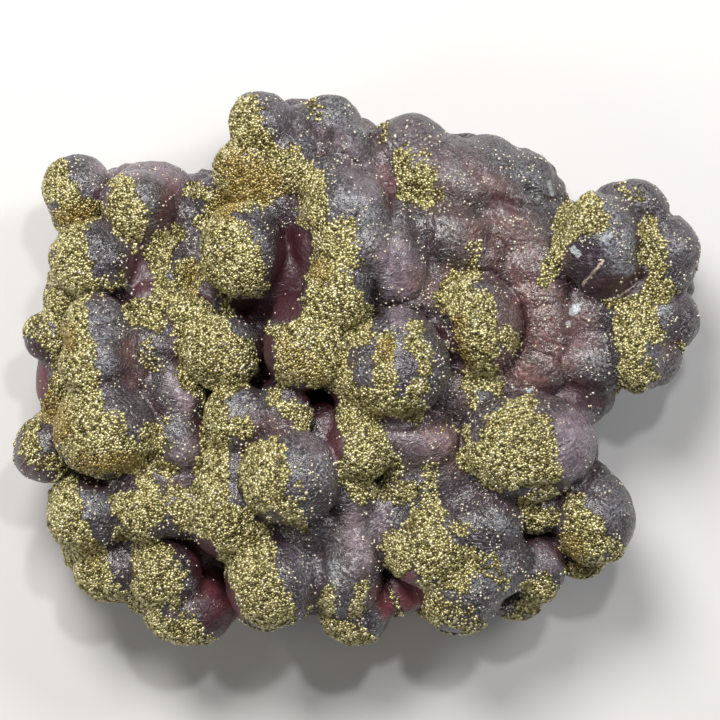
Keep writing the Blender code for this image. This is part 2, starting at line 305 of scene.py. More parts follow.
RIGHT_BULBS = [
    (12.5, 55.5, 37, 9.8, 9.5, 0.6, 15, 225),
    (14.3, 47.3, 43, 7.5, 7.5, 0.5, 85, 200),
    (24.3, 46.5, 41, 8.5, 8.5, 0.5, 10, 225),
    (32.5, 49.6, 33, 10.3, 10, 0.6, 0, 0),
    (44, 48, 31, 5.6, 6, 0.5, 0, 0),
    (22.5, 34, 43, 9.3, 9, 0.45, 0, 0),
    (36.8, 36, 37, 9, 8, 0.7, 0, 0),
    (46.3, 36.5, 31, 7.5, 6.2, 0.7, 0, 0),
    (43, 24.3, 33, 13, 12, 1, 0, 0),
    (46.8, 10.3, 31, 13.5, 13, 1, 0, 0),
    (41.8, -1, 36, 10, 9, 0.9, 0, 0),
    (29.8, 11.5, 47, 10.3, 12.5, 0.6, 95, 200),
    (29.8, 27.8, 41, 6, 6, 0.6, 70, 90),
    (21.8, -5.5, 44, 8, 8, 0.6, 20, 0),
    (61.3, 31.5, 46, 10.5, 13.5, 0.25, 62, 165),
    (70.5, 40.5, 38, 8, 8, 0.35, 40, 150),
    (77.3, 29.3, 40, 8.5, 10.5, 0.3, 65, 190),
    (80.5, 12.8, 36, 6, 7, 0.35, 25, 250),
    (76.3, 14.5, 41, 4.5, 5, 0.3, 0, 0),
    (70, 6.5, 40, 7.5, 11.5, 0.35, 95, 190),
    (75.5, 3, 36, 6, 6.5, 0.4, 40, 230),
    (59.3, 2.3, 38, 8, 8, 0.2, 0, 0),
    (58.3, -7, 31, 6.3, 6.3, 0.75, 0, 0),
    (60.5, 12.8, 38, 5, 5, 0.2, 0, 0),
    (42.3, -19, 47, 16.8, 13.6, 0.55, 80, 210),
    (59.3, -36.8, 40, 10.6, 11.5, 0.25, 78, 205),
    (57.5, -28.5, 36, 6, 6, 0.25, 0, 0),
    (56.5, -47, 31, 6, 5.2, 0.3, 100, 225),
    (45, -34.8, 43, 5.5, 5, 0.4, 115, 200),
    (17.5, -43.5, 48, 10.3, 11, 0.4, 100, 190),
    (26, -54.3, 42, 10.8, 12, 0.3, 90, 210),
    (30.5, -38.5, 46, 10, 9, 0.35, 30, 190),
    (35.5, -48.5, 44, 8.5, 8, 0.25, 40, 200),
    (45.5, -49.8, 38, 6.8, 8.5, 0.3, 60, 240),
    (39.5, -58, 32, 6.5, 5, 0.5, 80, 270),
]
BULBS = LEFT_BULBS + CENTRE_BULBS + RIGHT_BULBS

# The buried heart of the mass in millimetres: centre x, y and z, half sizes along X, Y and Z
HEARTS = [
    (-57, 24, 14, 18, 25, 28),
    (-57, -6, 14, 20, 26, 30),
    (-51, -35, 14, 24, 24, 27),
    (-37, 14, 12, 14, 33, 29),
    (-7, 25, 15, 27, 37, 34),
    (-9, -31, 14, 27, 28, 33),
    (13, -12, 12, 20, 22, 36),
    (35, 11, 14, 26, 35, 28),
    (31, -34, 14, 27, 23, 29),
    (47, -30, 12, 10, 19, 24),
    (67, 22, 14, 14, 18, 25),
    (26, 41, 14, 23, 13, 25),
    (-14, 51, 14, 12, 13, 26),
]

# Low bodies that fill the gaps between the bulbs, in millimetres as above
SADDLES = [
    (17, 21, 42, 9, 12, 9),
    (25, -3, 41, 9, 10, 9),
    (21, -24, 43, 10, 12, 9),
    (26, -31, 41, 12, 8, 9),
    (30, -8, 40, 9, 9, 9),
    (5, 34, 47, 9, 9, 9),
    (4, 44, 42, 8, 8, 8),
    (-17, 55, 43, 9, 7, 8),
    (28, 42, 36, 12, 9, 10),
    (-57.5, 2, 40, 6, 14, 8),
    (-50, -26, 38, 14, 6, 8),
    (-31, -24, 46, 7, 9, 8),
    (-11, -38, 44, 11, 9, 9),
    (10, -38, 42, 8, 8, 8),
    (-3, 3, 52, 7, 11, 10),
    (2, -10, 52, 8, 7, 8),
    (-9, 32, 47, 8, 10, 8),
    (-36, 21, 36, 8, 8, 7),
    (-24, -33, 47, 8, 8, 8),
    (36, -30, 40, 10, 8, 9),
    (53, -8, 34, 8, 8, 8),
    (60, 16, 36, 9, 8, 8),
    (-19.5, 42, 43, 7, 8, 7),
    (67, 19, 38, 8, 8, 8),
    (9, 16, 44, 8, 7, 8),
    (-27, -7, 6, 9, 9, 10),
    (69, 24, 38, 6, 7, 8),
]

# Broken faces: a bulb's centre in millimetres, the face's bearing, its tilt from upright and its
# distance from that centre, and how far the break reaches round the centre
BREAKS = [
    (61.3, 31.5, 46, 205, 40, 10, 17),
    (61.3, 31.5, 46, 232, 64, 9.7, 17),
    (61.3, 31.5, 46, 285, 54, 11.6, 17),
    (44, 48, 31, 350, 74, 4.6, 8),
    (-75, -3, 29, 180, 68, 6.6, 11),
]

# Where the pyrite lies on the display face, as strokes in pixels of the photograph's frame: from x, y
# to x, y, half the stroke's width, and how thickly the crystals lie, from 0 to 1
PYRITE_UPPER_LEFT = [
    (57, 170, 58, 192, 10, 1), (64, 190, 72, 206, 12, 1), (84, 208, 94, 212, 9, 1),
    (62, 216, 66, 226, 7, 0.8), (124, 186, 117, 212, 9, 1), (126, 205, 130, 228, 13, 1),
    (138, 206, 141, 216, 8, 0.8), (140, 236, 150, 252, 7, 0.7), (138, 251, 146, 257, 6, 0.8),
    (72, 232, 68, 262, 15, 1), (70, 262, 70, 292, 19, 1), (54, 298, 52, 306, 11, 1),
    (98, 288, 122, 280, 9, 0.5), (165, 240, 160, 262, 11, 1), (170, 226, 178, 236, 6, 0.8),
    (185, 268, 192, 290, 10, 1), (154, 287, 163, 292, 9, 1), (190, 190, 212, 196, 7, 0.8),
    (205, 222, 198, 224, 6, 0.7), (212, 206, 218, 214, 7, 0.9),
]
PYRITE_CROWN = [
    (246, 112, 248, 138, 14, 1), (256, 138, 266, 154, 12, 1), (235, 128, 240, 146, 9, 1),
    (236, 165, 236, 195, 19, 1), (256, 176, 286, 178, 16, 1), (222, 196, 222, 212, 10, 1),
    (262, 188, 262, 198, 9, 1), (290, 156, 292, 184, 9, 1), (302, 168, 316, 180, 8, 0.9),
    (311, 192, 313, 222, 13, 1), (324, 238, 328, 256, 13, 1), (342, 228, 347, 262, 10, 1),
    (318, 266, 326, 290, 17, 1), (340, 282, 348, 294, 10, 1), (326, 290, 328, 322, 17, 1),
    (358, 228, 362, 268, 4, 0.45), (350, 300, 358, 335, 12, 0.9), (224, 235, 222, 262, 20, 1),
    (240, 234, 240, 262, 11, 1), (250, 252, 254, 276, 10, 0.9), (212, 268, 240, 280, 14, 1),
    (222, 288, 262, 291, 8, 0.9), (270, 288, 285, 282, 6, 0.5), (230, 300, 232, 310, 6, 0.8),
    (205, 306, 207, 308, 8, 0.5), (312, 105, 318, 113, 6, 0.5),
]
PYRITE_CENTRE = [
    (284, 345, 290, 366, 20, 1), (308, 340, 312, 368, 16, 1), (302, 312, 318, 320, 14, 0.9),
    (330, 345, 334, 372, 14, 1), (340, 368, 342, 384, 8, 1), (384, 340, 385, 356, 9, 1),
    (383, 362, 385, 388, 10, 1), (413, 328, 419, 330, 6, 0.9), (412, 342, 418, 350, 7, 1),
    (424, 352, 427, 372, 6, 0.9), (414, 390, 424, 384, 6, 0.8), (345, 398, 372, 408, 15, 1),
    (385, 406, 414, 410, 11, 1), (365, 310, 362, 335, 6, 0.9), (352, 424, 356, 465, 17, 1),
    (374, 430, 382, 448, 9, 1), (368, 462, 392, 470, 10, 0.9), (350, 480, 356, 490, 8, 0.9),
    (362, 492, 402, 492, 13, 0.6), (408, 488, 410, 492, 7, 0.9), (430, 470, 432, 488, 8, 0.6),
    (432, 502, 436, 516, 9, 0.8), (450, 428, 452, 430, 10, 0.4),
]
PYRITE_LEFT = [
    (36, 330, 50, 344, 10, 0.7), (74, 320, 74, 340, 14, 1), (72, 350, 78, 378, 20, 1),
    (60, 395, 72, 425, 17, 1), (64, 432, 76, 450, 11, 1), (85, 402, 90, 440, 17, 1),
    (92, 438, 116, 446, 14, 1), (85, 458, 132, 458, 14, 0.9), (114, 420, 117, 438, 9, 0.9),
    (50, 402, 48, 412, 9, 1), (128, 445, 134, 450, 6, 0.7), (32, 420, 32, 455, 8, 0.9),
    (46, 462, 58, 464, 7, 0.7), (146, 305, 160, 292, 14, 1), (130, 312, 135, 320, 7, 0.9),
    (140, 316, 155, 322, 8, 0.8), (145, 345, 158, 366, 9, 0.5), (190, 308, 200, 330, 18, 1),
    (205, 340, 215, 372, 28, 1), (218, 330, 234, 345, 9, 1), (245, 350, 252, 368, 9, 0.7),
    (190, 378, 212, 388, 10, 0.9), (235, 345, 240, 375, 8, 0.9), (172, 300, 182, 330, 8, 0.9),
    (186, 350, 190, 375, 10, 1), (248, 382, 236, 382, 5, 0.6), (150, 434, 154, 462, 10, 0.9),
    (166, 448, 174, 446, 5, 0.6), (165, 468, 172, 470, 6, 0.8), (165, 420, 172, 414, 5, 0.5),
    (214, 400, 215, 450, 12, 1), (230, 426, 244, 428, 8, 0.9), (272, 395, 286, 410, 6, 0.9),
    (292, 408, 302, 420, 9, 0.9), (306, 404, 310, 412, 5, 0.7),
]
PYRITE_LOWER_LEFT = [
    (66, 480, 60, 488, 10, 1), (60, 502, 62, 520, 18, 1), (66, 530, 74, 546, 21, 1),
    (88, 562, 92, 588, 19, 1), (104, 590, 122, 598, 9, 0.95), (92, 548, 94, 560, 7, 1),
    (133, 508, 150, 508, 17, 1), (145, 484, 147, 492, 10, 1), (120, 532, 140, 532, 8, 0.6),
    (176, 500, 192, 520, 15, 0.7), (120, 500, 118, 510, 7, 0.9), (147, 548, 149, 572, 13, 1),
    (162, 556, 172, 586, 12, 0.7), (146, 588, 170, 592, 12, 1), (164, 574, 180, 576, 6, 0.8),
    (150, 612, 152, 622, 10, 1), (166, 634, 205, 634, 13, 0.85), (176, 606, 182, 612, 8, 0.5),
    (212, 462, 214, 500, 15, 1), (218, 520, 222, 545, 22, 1), (240, 520, 246, 545, 13, 1),
    (256, 536, 262, 548, 12, 1), (262, 462, 264, 492, 19, 1), (280, 504, 292, 514, 9, 0.9),
    (298, 514, 302, 530, 4, 0.9), (300, 485, 303, 495, 5, 0.5), (275, 450, 278, 470, 9, 1),
    (250, 568, 258, 600, 21, 1), (246, 590, 270, 610, 18, 1), (282, 600, 286, 614, 8, 0.9),
    (268, 560, 272, 590, 7, 1), (328, 594, 326, 610, 7, 0.9), (312, 612, 318, 614, 6, 0.6),
    (330, 626, 362, 638, 9, 0.9), (363, 585, 355, 612, 5, 0.9),
]
PYRITE_RIGHT = [
    (403, 160, 404, 192, 8, 0.95), (421, 172, 423, 196, 10, 0.95), (406, 150, 428, 156, 7, 0.45),
    (437, 172, 440, 196, 6, 0.45), (383, 124, 384, 140, 5, 0.6), (470, 247, 482, 245, 5, 0.5),
    (473, 262, 478, 275, 5, 0.6), (455, 285, 466, 300, 12, 1), (446, 300, 462, 312, 10, 0.95),
    (476, 310, 478, 350, 18, 1), (505, 335, 513, 345, 7, 0.9), (470, 345, 482, 370, 15, 1),
    (488, 374, 496, 386, 8, 1), (468, 385, 474, 405, 7, 0.6), (455, 320, 462, 345, 6, 0.9),
    (498, 418, 527, 404, 8, 1), (505, 432, 530, 440, 23, 1), (473, 458, 540, 462, 15, 1),
    (495, 474, 545, 474, 15, 1), (465, 430, 467, 436, 4, 0.8), (543, 425, 550, 455, 7, 0.8),
    (530, 506, 536, 518, 10, 1), (546, 512, 552, 516, 8, 0.8), (545, 494, 550, 492, 6, 0.8),
    (577, 204, 568, 226, 12, 1), (590, 204, 600, 222, 8, 1), (600, 222, 586, 228, 6, 1),
    (564, 234, 556, 250, 7, 1), (555, 252, 546, 282, 5, 1), (620, 186, 640, 196, 6, 0.5),
    (651, 226, 653, 240, 6, 1), (655, 246, 655, 292, 9, 1), (638, 308, 642, 318, 15, 1),
    (630, 318, 632, 348, 14, 1), (648, 325, 654, 332, 9, 0.9), (630, 352, 632, 384, 10, 1),
    (645, 362, 650, 372, 8, 0.6), (608, 302, 622, 303, 3, 0.9), (650, 290, 662, 295, 8, 1),
    (665, 285, 670, 292, 6, 0.8), (684, 348, 680, 345, 4, 0.7), (664, 245, 668, 270, 5, 0.5),
]
PYRITE_LOWER_RIGHT = [
    (574, 504, 576, 522, 10, 1), (580, 520, 592, 530, 13, 1), (574, 542, 590, 546, 14, 0.95),
    (606, 545, 616, 552, 8, 0.7), (600, 560, 612, 562, 4, 0.9), (572, 570, 592, 574, 7, 0.9),
    (422, 530, 432, 562, 18, 1), (394, 545, 400, 562, 13, 0.95), (444, 552, 462, 566, 14, 1),
    (470, 552, 473, 563, 8, 1), (425, 592, 434, 612, 12, 1), (452, 530, 466, 533, 6, 0.8),
    (446, 580, 462, 586, 8, 0.9), (455, 608, 470, 622, 17, 0.5), (490, 562, 505, 582, 10, 0.5),
    (394, 592, 396, 608, 6, 0.8), (535, 592, 542, 600, 12, 0.95), (520, 604, 530, 606, 5, 0.9),
    (505, 619, 520, 619, 4, 0.9), (545, 580, 548, 585, 7, 0.8),
]
PYRITE_STROKES = (
    PYRITE_UPPER_LEFT + PYRITE_CROWN + PYRITE_CENTRE + PYRITE_LEFT
    + PYRITE_LOWER_LEFT + PYRITE_RIGHT + PYRITE_LOWER_RIGHT
)

# The fluorite's colours on the display face, as strokes of the same kind with their strength last. Some pink
# strokes lie in wine-red crevices, where they lighten the wine as a painted glow of light through the thin
# walls
WINE_STROKES = [
    (170, 190, 165, 225, 9, 0.6), (150, 232, 140, 250, 6, 0.6), (136, 266, 143, 287, 12, 0.8),
    (296, 243, 287, 288, 17, 1), (300, 236, 306, 250, 8, 1), (38, 372, 38, 396, 9, 0.8),
    (35, 348, 36, 356, 6, 0.8), (208, 575, 222, 600, 14, 1), (225, 608, 234, 636, 13, 1),
    (325, 415, 338, 450, 9, 0.9), (405, 585, 412, 600, 12, 1), (393, 180, 392, 205, 5, 0.8),
    (500, 203, 518, 208, 6, 0.7), (594, 292, 632, 284, 9, 0.8), (640, 272, 640, 285, 6, 0.6),
    (380, 595, 388, 610, 8, 0.9), (245, 306, 290, 308, 12, 1), (268, 340, 270, 378, 7, 1),
    (308, 396, 332, 400, 9, 1), (208, 290, 210, 292, 9, 0.8), (575, 392, 600, 396, 14, 0.7),
    (203, 552, 216, 622, 14, 0.95), (190, 598, 200, 608, 8, 0.6),
]
PINK_STROKES = [
    (500, 240, 545, 280, 26, 0.6), (545, 320, 560, 345, 26, 0.7), (530, 300, 545, 340, 20, 1),
    (500, 370, 530, 375, 14, 0.9), (450, 272, 453, 275, 6, 0.9), (128, 345, 135, 375, 8, 0.8),
    (480, 235, 520, 235, 14, 0.6), (460, 375, 460, 400, 5, 0.8), (420, 282, 436, 292, 12, 0.5),
    (640, 386, 656, 382, 6, 0.8), (668, 355, 672, 350, 6, 0.7), (380, 165, 388, 180, 7, 0.6),
    (475, 165, 500, 190, 10, 0.4), (430, 425, 450, 450, 14, 0.5), (250, 420, 280, 425, 10, 0.5),
    (580, 320, 590, 345, 12, 0.4), (403, 583, 412, 602, 14, 1), (380, 595, 388, 610, 9, 0.8),
    (170, 190, 163, 232, 12, 0.2), (325, 415, 338, 450, 10, 0.2), (134, 266, 143, 288, 10, 0.15),
    (232, 606, 240, 640, 10, 0.5), (206, 555, 212, 585, 10, 0.4), (38, 372, 38, 396, 10, 0.5),
    (25, 455, 30, 470, 8, 0.5),
]
MAUVE_STROKES = [
    (105, 165, 165, 168, 12, 1), (178, 178, 190, 186, 12, 0.9), (102, 192, 103, 212, 4, 0.9),
    (400, 262, 402, 275, 22, 1), (420, 140, 440, 150, 22, 0.35), (462, 155, 482, 158, 14, 0.2),
    (575, 425, 572, 468, 20, 1), (355, 520, 360, 560, 12, 1), (400, 430, 436, 442, 14, 0.7),
    (186, 450, 190, 460, 15, 0.7), (175, 385, 190, 400, 12, 0.8), (345, 150, 370, 185, 15, 0.5),
    (310, 440, 320, 450, 12, 0.5), (380, 520, 384, 540, 9, 0.7), (545, 545, 550, 560, 12, 0.4),
    # Painted light: this stroke lightens the shaded hollow below a bulb
    (396, 288, 402, 315, 13, 0.9),
]
# Painted sheen: speckled pale patches laid where the lights' sheen falls on the skin
PAINTED_SHEEN_STROKES = [
    (345, 200, 370, 215, 14, 0.4), (385, 225, 390, 232, 11, 0.5), (445, 225, 455, 235, 9, 0.4),
    (455, 170, 470, 182, 9, 0.4), (490, 155, 515, 150, 10, 0.3), (525, 170, 540, 195, 11, 0.8),
    (605, 205, 612, 215, 10, 0.8), (680, 245, 682, 250, 10, 0.3), (585, 355, 595, 370, 14, 0.45),
    (495, 565, 505, 590, 15, 0.7), (325, 462, 328, 482, 7, 0.9), (332, 565, 336, 585, 7, 0.9),
    (305, 560, 312, 570, 9, 0.6), (665, 310, 666, 312, 9, 0.9), (575, 482, 590, 480, 9, 0.8),
    (612, 510, 618, 514, 8, 0.7), (503, 523, 516, 532, 6, 0.9), (90, 492, 98, 494, 14, 0.25),
    (102, 345, 106, 368, 10, 0.5), (98, 310, 104, 320, 13, 0.35), (235, 330, 255, 332, 8, 0.7),
    (240, 403, 252, 412, 10, 0.5), (255, 209, 264, 212, 5, 0.9), (270, 108, 292, 114, 12, 0.3),
    (335, 110, 345, 118, 12, 0.6), (600, 240, 625, 245, 14, 0.8), (622, 270, 628, 272, 9, 1),
    (380, 282, 385, 300, 10, 0.5), (640, 360, 655, 355, 6, 0.7), (85, 175, 100, 178, 9, 0.2),
    (150, 190, 152, 200, 8, 0.5),
]
WARM_STROKES = [
    (450, 185, 560, 300, 42, 1), (500, 330, 560, 370, 38, 0.9), (400, 140, 440, 160, 25, 0.5),
    (400, 250, 420, 290, 25, 0.5), (390, 440, 450, 450, 25, 0.8), (350, 530, 360, 570, 14, 0.6),
    (110, 170, 170, 172, 18, 0.7), (175, 385, 192, 400, 14, 0.6), (170, 475, 190, 510, 18, 0.7),
]
RUST_STROKES = [
    (238, 170, 264, 182, 20, 0.85), (236, 195, 225, 210, 12, 1), (50, 402, 62, 432, 11, 0.8),
    (85, 462, 132, 462, 10, 0.9), (62, 216, 90, 212, 9, 0.9), (68, 330, 68, 345, 7, 0.8),
    (384, 342, 386, 354, 8, 0.9), (456, 325, 462, 362, 8, 1), (570, 545, 575, 560, 12, 0.8),
    (318, 268, 322, 276, 9, 0.9), (284, 352, 314, 370, 14, 0.5), (190, 270, 192, 290, 7, 0.7),
    (90, 550, 96, 562, 7, 0.7),
]

# Where the skin is darkest: partly darker skin, partly painted shade on the sides of bulbs turned from the
# lights and down in crevices
SHADE_AND_DARK_STROKES = [
    (604, 305, 606, 345, 7, 0.9), (575, 396, 600, 398, 11, 0.8), (607, 350, 607, 385, 6, 0.8),
    (98, 482, 104, 520, 14, 0.5), (128, 400, 138, 425, 14, 0.15), (256, 216, 278, 236, 13, 0.8),
    (118, 555, 122, 588, 9, 0.6), (178, 546, 190, 566, 13, 0.5), (315, 502, 330, 507, 10, 0.5),
    (550, 205, 557, 238, 7, 0.7), (500, 150, 530, 165, 16, 0.3), (560, 262, 566, 290, 8, 0.6),
    (470, 510, 500, 530, 16, 0.4), (642, 235, 644, 285, 5, 0.6), (205, 545, 210, 560, 9, 0.7),
    (95, 240, 118, 262, 13, 0.9), (112, 320, 118, 350, 10, 0.4), (150, 318, 165, 345, 10, 0.4),
    (242, 320, 262, 345, 8, 0.5), (290, 110, 300, 130, 9, 0.4), (330, 155, 345, 165, 9, 0.5),
    (440, 200, 480, 210, 9, 0.4), (395, 312, 430, 318, 7, 0.25), (440, 330, 448, 365, 7, 0.5),
    (150, 178, 160, 215, 9, 0.5), (500, 245, 540, 255, 24, 0.6), (545, 310, 550, 350, 24, 0.5),
    (425, 130, 480, 150, 20, 0.5), (425, 215, 440, 235, 14, 0.35), (588, 358, 594, 372, 11, 0.5),
]

# Crisp pale marks: chips and a painted highlight on the broken bulb's glassy lump, the seam of a broken bulb
# and thin bright rims, as strokes of the same kind
CHIP_AND_HIGHLIGHT_STROKES = [
    (572, 312, 576, 309, 4, 0.9), (574, 306, 579, 305, 2, 0.8), (568, 323, 569, 325, 2.2, 0.8),
    # Painted highlight: the first stroke on this line is a white glint on a glassy lump
    (573, 249, 578, 254, 3.2, 1), (549, 182, 552, 194, 2, 0.6), (40, 408, 46, 400, 1.2, 0.8),
    (528, 392, 533, 389, 1.5, 0.8), (604, 239, 611, 235, 2.4, 0.5),
]
SEAM_STROKES = [
    (603, 261, 593, 273, 1.6, 1), (593, 273, 583, 284, 1.3, 1), (597, 268, 588, 276, 0.6, 0.7),
    (636, 284, 620, 296, 0.8, 0.9), (620, 296, 604, 302, 0.9, 0.9), (243, 298, 262, 297, 0.9, 0.8),
    (563, 268, 584, 262, 0.4, 0.5), (562, 276, 580, 272, 0.4, 0.5), (566, 284, 578, 281, 0.4, 0.5),
    (598, 280, 628, 277, 0.4, 0.4), (592, 270, 600, 281, 0.4, 0.5),
]

# Where the display face runs smoothly from bulb to bulb
SOFT_STROKES = [
    (375, 205, 410, 320, 26, 1), (430, 160, 520, 185, 30, 0.8), (440, 230, 540, 260, 28, 0.9),
    (540, 300, 550, 360, 26, 0.9), (400, 435, 440, 445, 16, 0.8), (355, 520, 362, 560, 12, 0.8),
    (345, 150, 350, 175, 12, 0.7), (170, 380, 185, 400, 10, 0.7), (130, 345, 136, 375, 8, 0.7),
]

# Rounded grooves and raised lines of the display face: strokes as above, the last number in millimetres
GROOVE_STROKES = [
    (378, 421, 420, 424, 5, 1.2), (438, 154, 458, 154, 4, 0.7), (458, 154, 480, 172, 4, 0.8),
    (480, 172, 496, 198, 4, 1), (496, 198, 524, 210, 5, 1.3), (432, 206, 482, 213, 5, 1),
    (312, 118, 330, 142, 5, 1.2), (330, 142, 348, 160, 5, 1), (378, 160, 392, 204, 5, 1.2),
    (400, 314, 424, 312, 4, 1.2), (424, 312, 444, 322, 4, 1), (452, 330, 458, 366, 5, 1.3),
    (100, 328, 118, 326, 4, 0.9), (98, 386, 125, 378, 4, 0.9), (318, 540, 322, 590, 5, 1),
    (640, 222, 644, 262, 4, 1.3), (606, 192, 640, 216, 4, 1), (640, 216, 672, 214, 4, 1),
    (576, 486, 612, 494, 4, 0.8), (590, 302, 640, 280, 5, 1.2), (522, 490, 560, 488, 4, 1.4),
]

# The looks that strokes draw on the fluorite: name, strokes, softness in pixels, and whether they also
# show deep in the crevices
LOOK_STROKES = (
    ("wine", WINE_STROKES, WINE_SOFTNESS, True),
    ("pink", PINK_STROKES, 12.0, True),
    ("mauve", MAUVE_STROKES, 7.0, False),
    ("painted_sheen", PAINTED_SHEEN_STROKES, 7.0, False),
    ("warm", WARM_STROKES, 18.0, False),
    ("shade_and_dark", SHADE_AND_DARK_STROKES, 7.0, False),
    ("rust", RUST_STROKES, 6.0, False),
)
FLUORITE_MASKS = (
    "tint", "gold", "ring", "hollow", "wine", "pink", "mauve", "painted_sheen", "warm", "shade_and_dark", "broken",
)


class Body:
    """One rounded body of the mass, or the straight stem between two of its points."""

    def __init__(self, centre, sizes, tint, gold_reach, gold_bearing, foot=None):
        self.centre = np.array(centre, float)
        self.sizes = np.array(sizes, float)
        self.tint = tint
        self.gold_reach = math.radians(gold_reach)
        self.gold_bearing = math.radians(gold_bearing)
        self.foot = None if foot is None else np.array(foot, float)

    def middle_and_reach(self):
        """A point and a distance from it that hold the whole body."""
        if self.foot is None:
            return self.centre, self.sizes.max()
        middle = (self.centre + self.foot) / 2
        return middle, np.linalg.norm(self.centre - self.foot) / 2 + self.sizes[0]

    def distance(self, points):
        """Signed distances from the body's surface, and the outward directions."""
        if self.foot is None:
            offset = points - self.centre
            scaled = np.linalg.norm(offset / self.sizes, axis=1) + TINY
            slope = offset / self.sizes**2
            steepness = np.linalg.norm(slope, axis=1) + TINY
            return scaled * (scaled - 1) / steepness, slope / steepness[:, None]
        axis = self.foot - self.centre
        share = np.clip((points - self.centre) @ axis / (axis @ axis), 0, 1)
        offset = points - (self.centre + share[:, None] * axis)
        away = np.linalg.norm(offset, axis=1) + TINY
        return away - self.sizes[0], offset / away[:, None]


def bulb_bodies(order, row):
    """A bulb, its leaning stem and the older bulbs that hang on the stem."""
    x, y, z, half_x, half_y = (value * MM for value in row[:5])
    look = row[5:]
    radius = (half_x + half_y) / 2
    top = Vector((x, y, z))
    foot = Vector((x * (1 - STEM_LEAN), y * (1 - STEM_LEAN), STEM_FOOT_HEIGHT))
    sideways = Vector((-y, x, 0)).normalized()
    stem_radius = min(half_x, half_y) * STEM_SHARE
    bodies = [Body(top, (half_x, half_y, radius), *look)]
    bodies.append(Body(top, (stem_radius,) * 3, *look, foot=foot))
    bead = 1
    while z - bead * BEAD_DROP * radius > BEAD_LOWEST:
        share = bead * BEAD_DROP * radius / (z - STEM_FOOT_HEIGHT)
        side = BEAD_SIDESTEP * (1 if (order + bead) % 2 else -1)
        growth = BEAD_GROWTH[(order + bead) % len(BEAD_GROWTH)]
        centre = top.lerp(foot, min(share, 1)) + sideways * side
        bodies.append(Body(centre, (half_x * growth, half_y * growth, radius * growth), *look))
        bead += 1
    return bodies


def heart_bodies(row):
    """A buried body and the bulbs that cover its sides near the flat cut."""
    x, y, z, half_x, half_y, half_z = (value * MM for value in row)
    look = (FLANK_TINT, FLANK_GOLD_REACH, FLANK_GOLD_BEARING)
    bodies = [Body((x, y, z), (half_x, half_y, half_z), FLANK_TINT, 0, 0)]
    small, large = FLANK_RADIUS
    for step in range(FLANK_COUNT):
        turn = step * GOLDEN_TURN
        height = FLANK_LOW + (FLANK_HIGH - FLANK_LOW) * (step + 0.5) / FLANK_COUNT
        slice_share = math.sqrt(max(0, 1 - ((height - z) / half_z) ** 2))
        reach_x = half_x * slice_share - FLANK_INSET
        reach_y = half_y * slice_share - FLANK_INSET
        radius = small + (large - small) * (step * GOLDEN_SHARE % 1)
        centre = (x + reach_x * math.cos(turn), y + reach_y * math.sin(turn), height)
        bodies.append(Body(centre, (radius,) * 3, *look))
    return bodies


def all_bodies():
    bodies = []
    for order, row in enumerate(BULBS):
        bodies += bulb_bodies(order, row)
    for row in SADDLES:
        place = np.array(row) * MM
        bodies.append(Body(place[:3], place[3:], FLANK_TINT, 0, 0))
    for row in HEARTS:
        bodies += heart_bodies(row)
    return bodies


BODIES = all_bodies()


def add_object(name, data):
    item = bpy.data.objects.new(name, data)
    bpy.context.scene.collection.objects.link(item)
    return item


def evaluated_mesh(item):
    """The mesh that an object's modifiers give, as a mesh of its own."""
    graph = bpy.context.evaluated_depsgraph_get()
    return bpy.data.meshes.new_from_object(item.evaluated_get(graph))


def corner_values(mesh, kind):
    """The corners' places, "co", or outward directions, "normal", as an array."""
    values = np.empty(len(mesh.vertices) * 3, np.float32)
    mesh.vertices.foreach_get(kind, values)
    return values.reshape(-1, 3).astype(float)


def set_points(mesh, points):
    mesh.vertices.foreach_set("co", points.astype(np.float32).ravel())
    mesh.update()


def smooth_rise(value, low, high):
    """0 below low, 1 above high, and a smooth climb between them."""
    share = np.clip((value - low) / (high - low), 0, 1)
    return share * share * (3 - 2 * share)


def noise_at(points, size, shift=0.0):
    """Smooth noise from -1 to 1, whose lumps are about size across."""
    scaled = points / size + shift
    return np.array([noise.noise(Vector(point)) for point in scaled])


def unit_template(make, **settings):
    """The corners and triangles of one of Blender's primitives, as arrays."""
    shape = bmesh.new()
    make(shape, **settings)
    bmesh.ops.triangulate(shape, faces=shape.faces[:])
    corners = np.array([corner.co for corner in shape.verts])
    faces = np.array([[corner.index for corner in face.verts] for face in shape.faces])
    shape.free()
    return corners, faces


def mesh_of(name, corners, faces):
    """A mesh from one array of corners and one of faces, which all have the same number of sides."""
    mesh = bpy.data.meshes.new(name)
    sides = faces.shape[1]
    mesh.vertices.add(len(corners))
    mesh.vertices.foreach_set("co", corners.astype(np.float32).ravel())
    mesh.loops.add(faces.size)
    mesh.loops.foreach_set("vertex_index", faces.astype(np.int32).ravel())
    mesh.polygons.add(len(faces))
    mesh.polygons.foreach_set("loop_start", np.arange(0, faces.size, sides, dtype=np.int32))
    mesh.update(calc_edges=True)
    mesh.validate()
    return mesh


def body_corners(body, sphere, rod):
    """The corners of a body's own mesh, in the frame."""
    if body.foot is None:
        return body.centre + sphere * body.sizes
    axis = Vector(body.foot - body.centre)
    turn = np.array(axis.to_track_quat("Z", "Y").to_matrix())
    scaled = rod * (body.sizes[0], body.sizes[0], axis.length)
    return (body.centre + body.foot) / 2 + scaled @ turn.T


